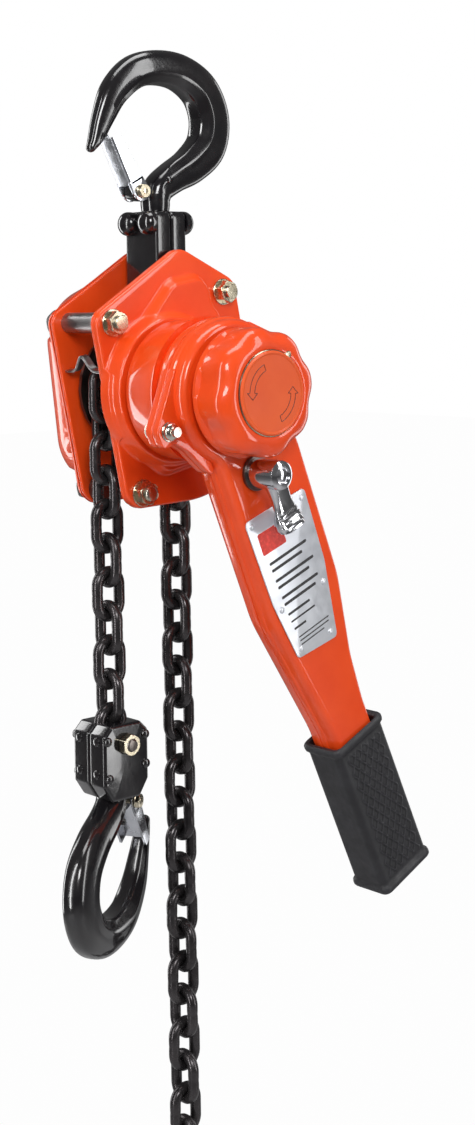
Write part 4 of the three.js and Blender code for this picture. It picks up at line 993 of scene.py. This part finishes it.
# ---- chain and block ----
def link(half_above, half_below, flat):
    """One link about its centre, long along Z, given its two inside half lengths, and waisted at its weld."""
    up, down = half_above + WIRE_R - LINK_BEND, half_below + WIRE_R - LINK_BEND
    points = []
    for start, near, far in ((0.0, up, -down), (math.pi, -down, up)):
        for i in range(23):
            x, z = polar(LINK_BEND, start + math.pi * i / 22)
            points.append((x, 0.0, near + z))
        x, _, z = points[-1]
        points += [(x, 0.0, z + (far - z) * i / 8) for i in range(1, 8)]
    loops = []
    r = WIRE_R - 0.02
    for i, (x, _, z) in enumerate(points):
        before, after = points[i - 1], points[(i + 1) % len(points)]
        dx, dz = after[0] - before[0], after[2] - before[2]
        size = math.hypot(dx, dz)
        nx, nz = -dz / size, dx / size
        loop = [(x + r * math.cos(a) * nx, r * math.sin(a), z + r * math.cos(a) * nz) for a in turns(16)]
        waist = 0.0448 * math.exp(-((z / 1.1) ** 2)) if x < 0 else 0.0
        if waist > 0.0032:
            middle = np.mean(loop, axis=0)
            loop = [tuple(middle + (np.array(p) - middle) * (1 - waist)) for p in loop]
        loops.append(loop)
    part = skin(loops, ring=True)
    return swap(part, (1, 0, 2)) if flat else part


def run_of(x, first, last):
    """A hanging run of links, every other one flat, the first shortened where it meets the wrapped ones."""
    links = []
    for i in range(first, last + 1):
        flat = i % 2 == 1
        above = LINK_HALF if i > first else 7.7 if flat else 12.7
        links.append(moved(link(above, LINK_HALF, flat), shifted(x, 0, AXIS[2] - i * PITCH)))
    return links


def wrapped_links():
    links = []
    for k in range(4):
        flat = k % 2 == 1
        r = SHEAVE_R - 1.2 if flat else SHEAVE_R
        made = link(7.7 if k == 3 else 8, 12.7 if k == 0 else 8, flat)
        around = turned_about(AXIS[0], AXIS[2], -math.radians(45 * k))
        links.append(moved(made, shifted(-r, 0, 0, around)))
    return links


def add_chains():
    piece("load_chain_links", run_of(LOAD_X, 1, 10), "load_run", CHAIN, ("load_chain",))
    piece("slack_chain_links", run_of(SLACK_X, 0, 23), "slack_run", CHAIN, ("slack_chain",))
    piece("wrapped_links", wrapped_links(), "sheave", CHAIN, ("wrapped_chain",))
    low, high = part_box("stop_ring")
    z = 500 * (low[2] + high[2])
    ring = [(SLACK_X + 13 * math.cos(a), 0.0, z + 13 * math.sin(a)) for a in turns(72)]
    piece("stop_ring_wire", [sweep(ring, 3.4, 20, True)], "stop_ring", CHAIN, ("stop_ring",))


def add_block():
    """The riveted block that joins the load chain to the hook below it."""
    x, top, bottom = LOAD_X, -339.0, -379.0
    corners = [(x - 14.9, top - 5, 2), (x - 14.9, bottom + 9, 3), (x - 9, bottom + 0.1, 3), (x + 9, bottom + 0.1, 3),
               (x + 14.9, bottom + 9, 3), (x + 14.9, top - 5, 2), (x + 9.9, top - 0.1, 2), (x - 9.9, top - 0.1, 2)]
    outline = rounded(corners, 260)
    for name, side in SIDES:
        parts = [slab(outline, side * 0.3, side * 13.4, 2.0, 6)]
        for dx, z in ((12.4, -346.5), (12.6, -362), (-12.4, -346.5), (-11.6, -366)):
            rivet = [(2.5, side * 12.9), (2.4, side * 14.0), (1.9, side * 14.7), (0.9, side * 15.1)]
            parts.append(lathe(rivet, 28, x + dx, z))
        for y, z in ((side * 7.5, -347), (side * 7.2, -364)):
            for end in (-1, 1):
                rivet = [(2.4, end * 14.4), (2.3, end * 15.3), (1.8, end * 15.9), (0.8, end * 16.2)]
                parts.append(along_x(lathe(rivet, 28), x, y, z))
        piece(f"block_{name}_forging", parts, "load_run", BLACK, (f"block_half_{name}",))
    z = -349.5
    pin = [domed_end(3.45, 0, -19.2, x, z), hex_nut(6.3, 13.7, 17.7, x, z)]
    piece("block_pin_turned", pin, "load_run", DARK_STEEL, ("block_pin",), sharp=14)
    piece("block_nut_chamfered", [hex_nut(5.9, -13.75, -18.25, x, z)], "load_run", YELLOW_ZINC_AND_HIGHLIGHT,
          ("block_pin_nut",), sharp=14)


# ---- put together ----
add_hook("top", TOP_PROFILE, -59, 5.6, in_world, "hook_root", "top_latch")
add_hook("load", LOAD_PROFILE, -56, 7.9, in_load_hook, "load_hook", "load_latch")
add_yoke()
add_frame()
piece("chain_guide_strip", [guide_strip()], "frame", STEEL, ("chain_guide",), in_frame)
add_lever()
add_selector()
add_nameplate()
add_grip()
add_knob()
add_chains()
add_block()

# The nodes inside, which are shown as the CAD has them.
INSIDE = ((STEEL, ("sheave_bearing_front", "sheave_bearing_rear", "load_gear", "drive_shaft", "friction_hub",
                   "disc_gear_upper", "disc_gear_lower")),
          (LINING, ("friction_disc_inner", "friction_disc_outer")),
          (DARK_STEEL, ("load_sheave", "ratchet_wheel", "change_gear", "change_pawl", "brake_pawl_1", "brake_pawl_2")))
for look, nodes in INSIDE:
    for node in nodes:
        for holder in bpy.data.objects[node].material_slots:
            holder.material = look


# ---- studio ----
def paper():
    look = Look("paper_floor")
    look.colour(look.mix(look.ramp(look.noise(3, 4), 0.3, 0.7), (0.5, 0.5, 0.51), (0.54, 0.54, 0.545)))
    look.rough(60, 5, 0.7, 0.85)
    look.bump((400, 3, 0.02, 0.0002))
    glow = look.node("Emission", Strength=0.985)
    path = look.node("LightPath")
    both = look.node("MixShader")
    look.join(path.outputs["Is Camera Ray"], both.inputs[0])
    look.join(look.shader.outputs[0], both.inputs[1])
    look.join(glow.outputs[0], both.inputs[2])
    look.join(both.outputs[0], look.tree.nodes["Material Output"].inputs["Surface"])
    return look.material


def add_floor():
    mesh = bpy.data.meshes.new("floor")
    mesh.from_pydata([(-9, -9, -1.0), (9, -9, -1.0), (9, 9, -1.0), (-9, 9, -1.0)], [], [(0, 1, 2, 3)])
    mesh.materials.append(paper())
    shown("floor", mesh)


# The camera's directions in the world, and its numbers, which are the ones found for the photo.
RIGHT = Vector((0.743, -0.669, 0))
VIEW = Vector((0.669, 0.743, 0))
MIDDLE = Vector((0.02, -0.03, -0.29))
CAMERA_AT = (-0.5924, -0.7234, -0.1182)
CAMERA_ROLL = -1.0
PHOTO_HEIGHT, FOCAL_LENGTH, HORIZON = 1125, 1718, 300  # pixels
SENSOR = 36
# Each light: how far beside, beyond and above the middle, then its width, height and power.
LIGHTS = {"key_left": (-0.75, -0.75, 0.2, 0.11, 1.5, 6.8), "key_right": (1.0, -0.35, 0.25, 0.22, 1.5, 6),
          "front": (0.25, -1.5, 0.75, 0.5, 0.5, 11.5), "top": (0.1, -0.1, 1.1, 0.7, 0.45, 5.5),
          "rim_left": (-0.9, 0.55, 0.1, 0.2, 1.4, 5), "rim_right": (0.85, 0.8, 0.1, 0.3, 1.3, 2.5)}


def add_lights():
    for name, (right, ahead, up, width, height, power) in LIGHTS.items():
        data = bpy.data.lights.new(name, "AREA")
        data.shape = "RECTANGLE"
        data.size, data.size_y = width, height
        data.energy = power
        made = shown(name, data)
        made.location = MIDDLE + right * RIGHT + ahead * VIEW + Vector((0, 0, up))
        made.rotation_euler = (MIDDLE - made.location).to_track_quat("-Z", "Y").to_euler()


def add_world():
    """White where the camera sees it, and dim as a light."""
    world = bpy.data.worlds.new("studio")
    world.use_nodes = True
    nodes = world.node_tree.nodes
    back = nodes["Background"]
    bright = nodes.new("ShaderNodeBackground")
    for node, strength in ((back, 0.12), (bright, 1.0)):
        node.inputs["Color"].default_value = (1, 1, 1, 1)
        node.inputs["Strength"].default_value = strength
    path = nodes.new("ShaderNodeLightPath")
    mixed = nodes.new("ShaderNodeMixShader")
    links = world.node_tree.links
    links.new(path.outputs["Is Camera Ray"], mixed.inputs[0])
    links.new(back.outputs[0], mixed.inputs[1])
    links.new(bright.outputs[0], mixed.inputs[2])
    links.new(mixed.outputs[0], nodes["World Output"].inputs["Surface"])
    bpy.context.scene.world = world


def add_camera():
    data = bpy.data.cameras.new("camera")
    data.sensor_fit = "VERTICAL"
    data.sensor_height = SENSOR
    data.lens = FOCAL_LENGTH / PHOTO_HEIGHT * SENSOR
    data.shift_y = (HORIZON - PHOTO_HEIGHT / 2) / PHOTO_HEIGHT
    data.clip_end = 30
    made = shown("camera", data)
    turned = Matrix((RIGHT.normalized(), (0, 0, 1), -VIEW.normalized())).transposed().to_4x4()
    roll = Matrix.Rotation(math.radians(CAMERA_ROLL), 4, "Z")
    made.matrix_world = Matrix.Translation(CAMERA_AT) @ turned @ roll
    bpy.context.scene.camera = made


add_floor()
add_lights()
add_world()
add_camera()
bpy.context.scene.view_settings.view_transform = "Standard"
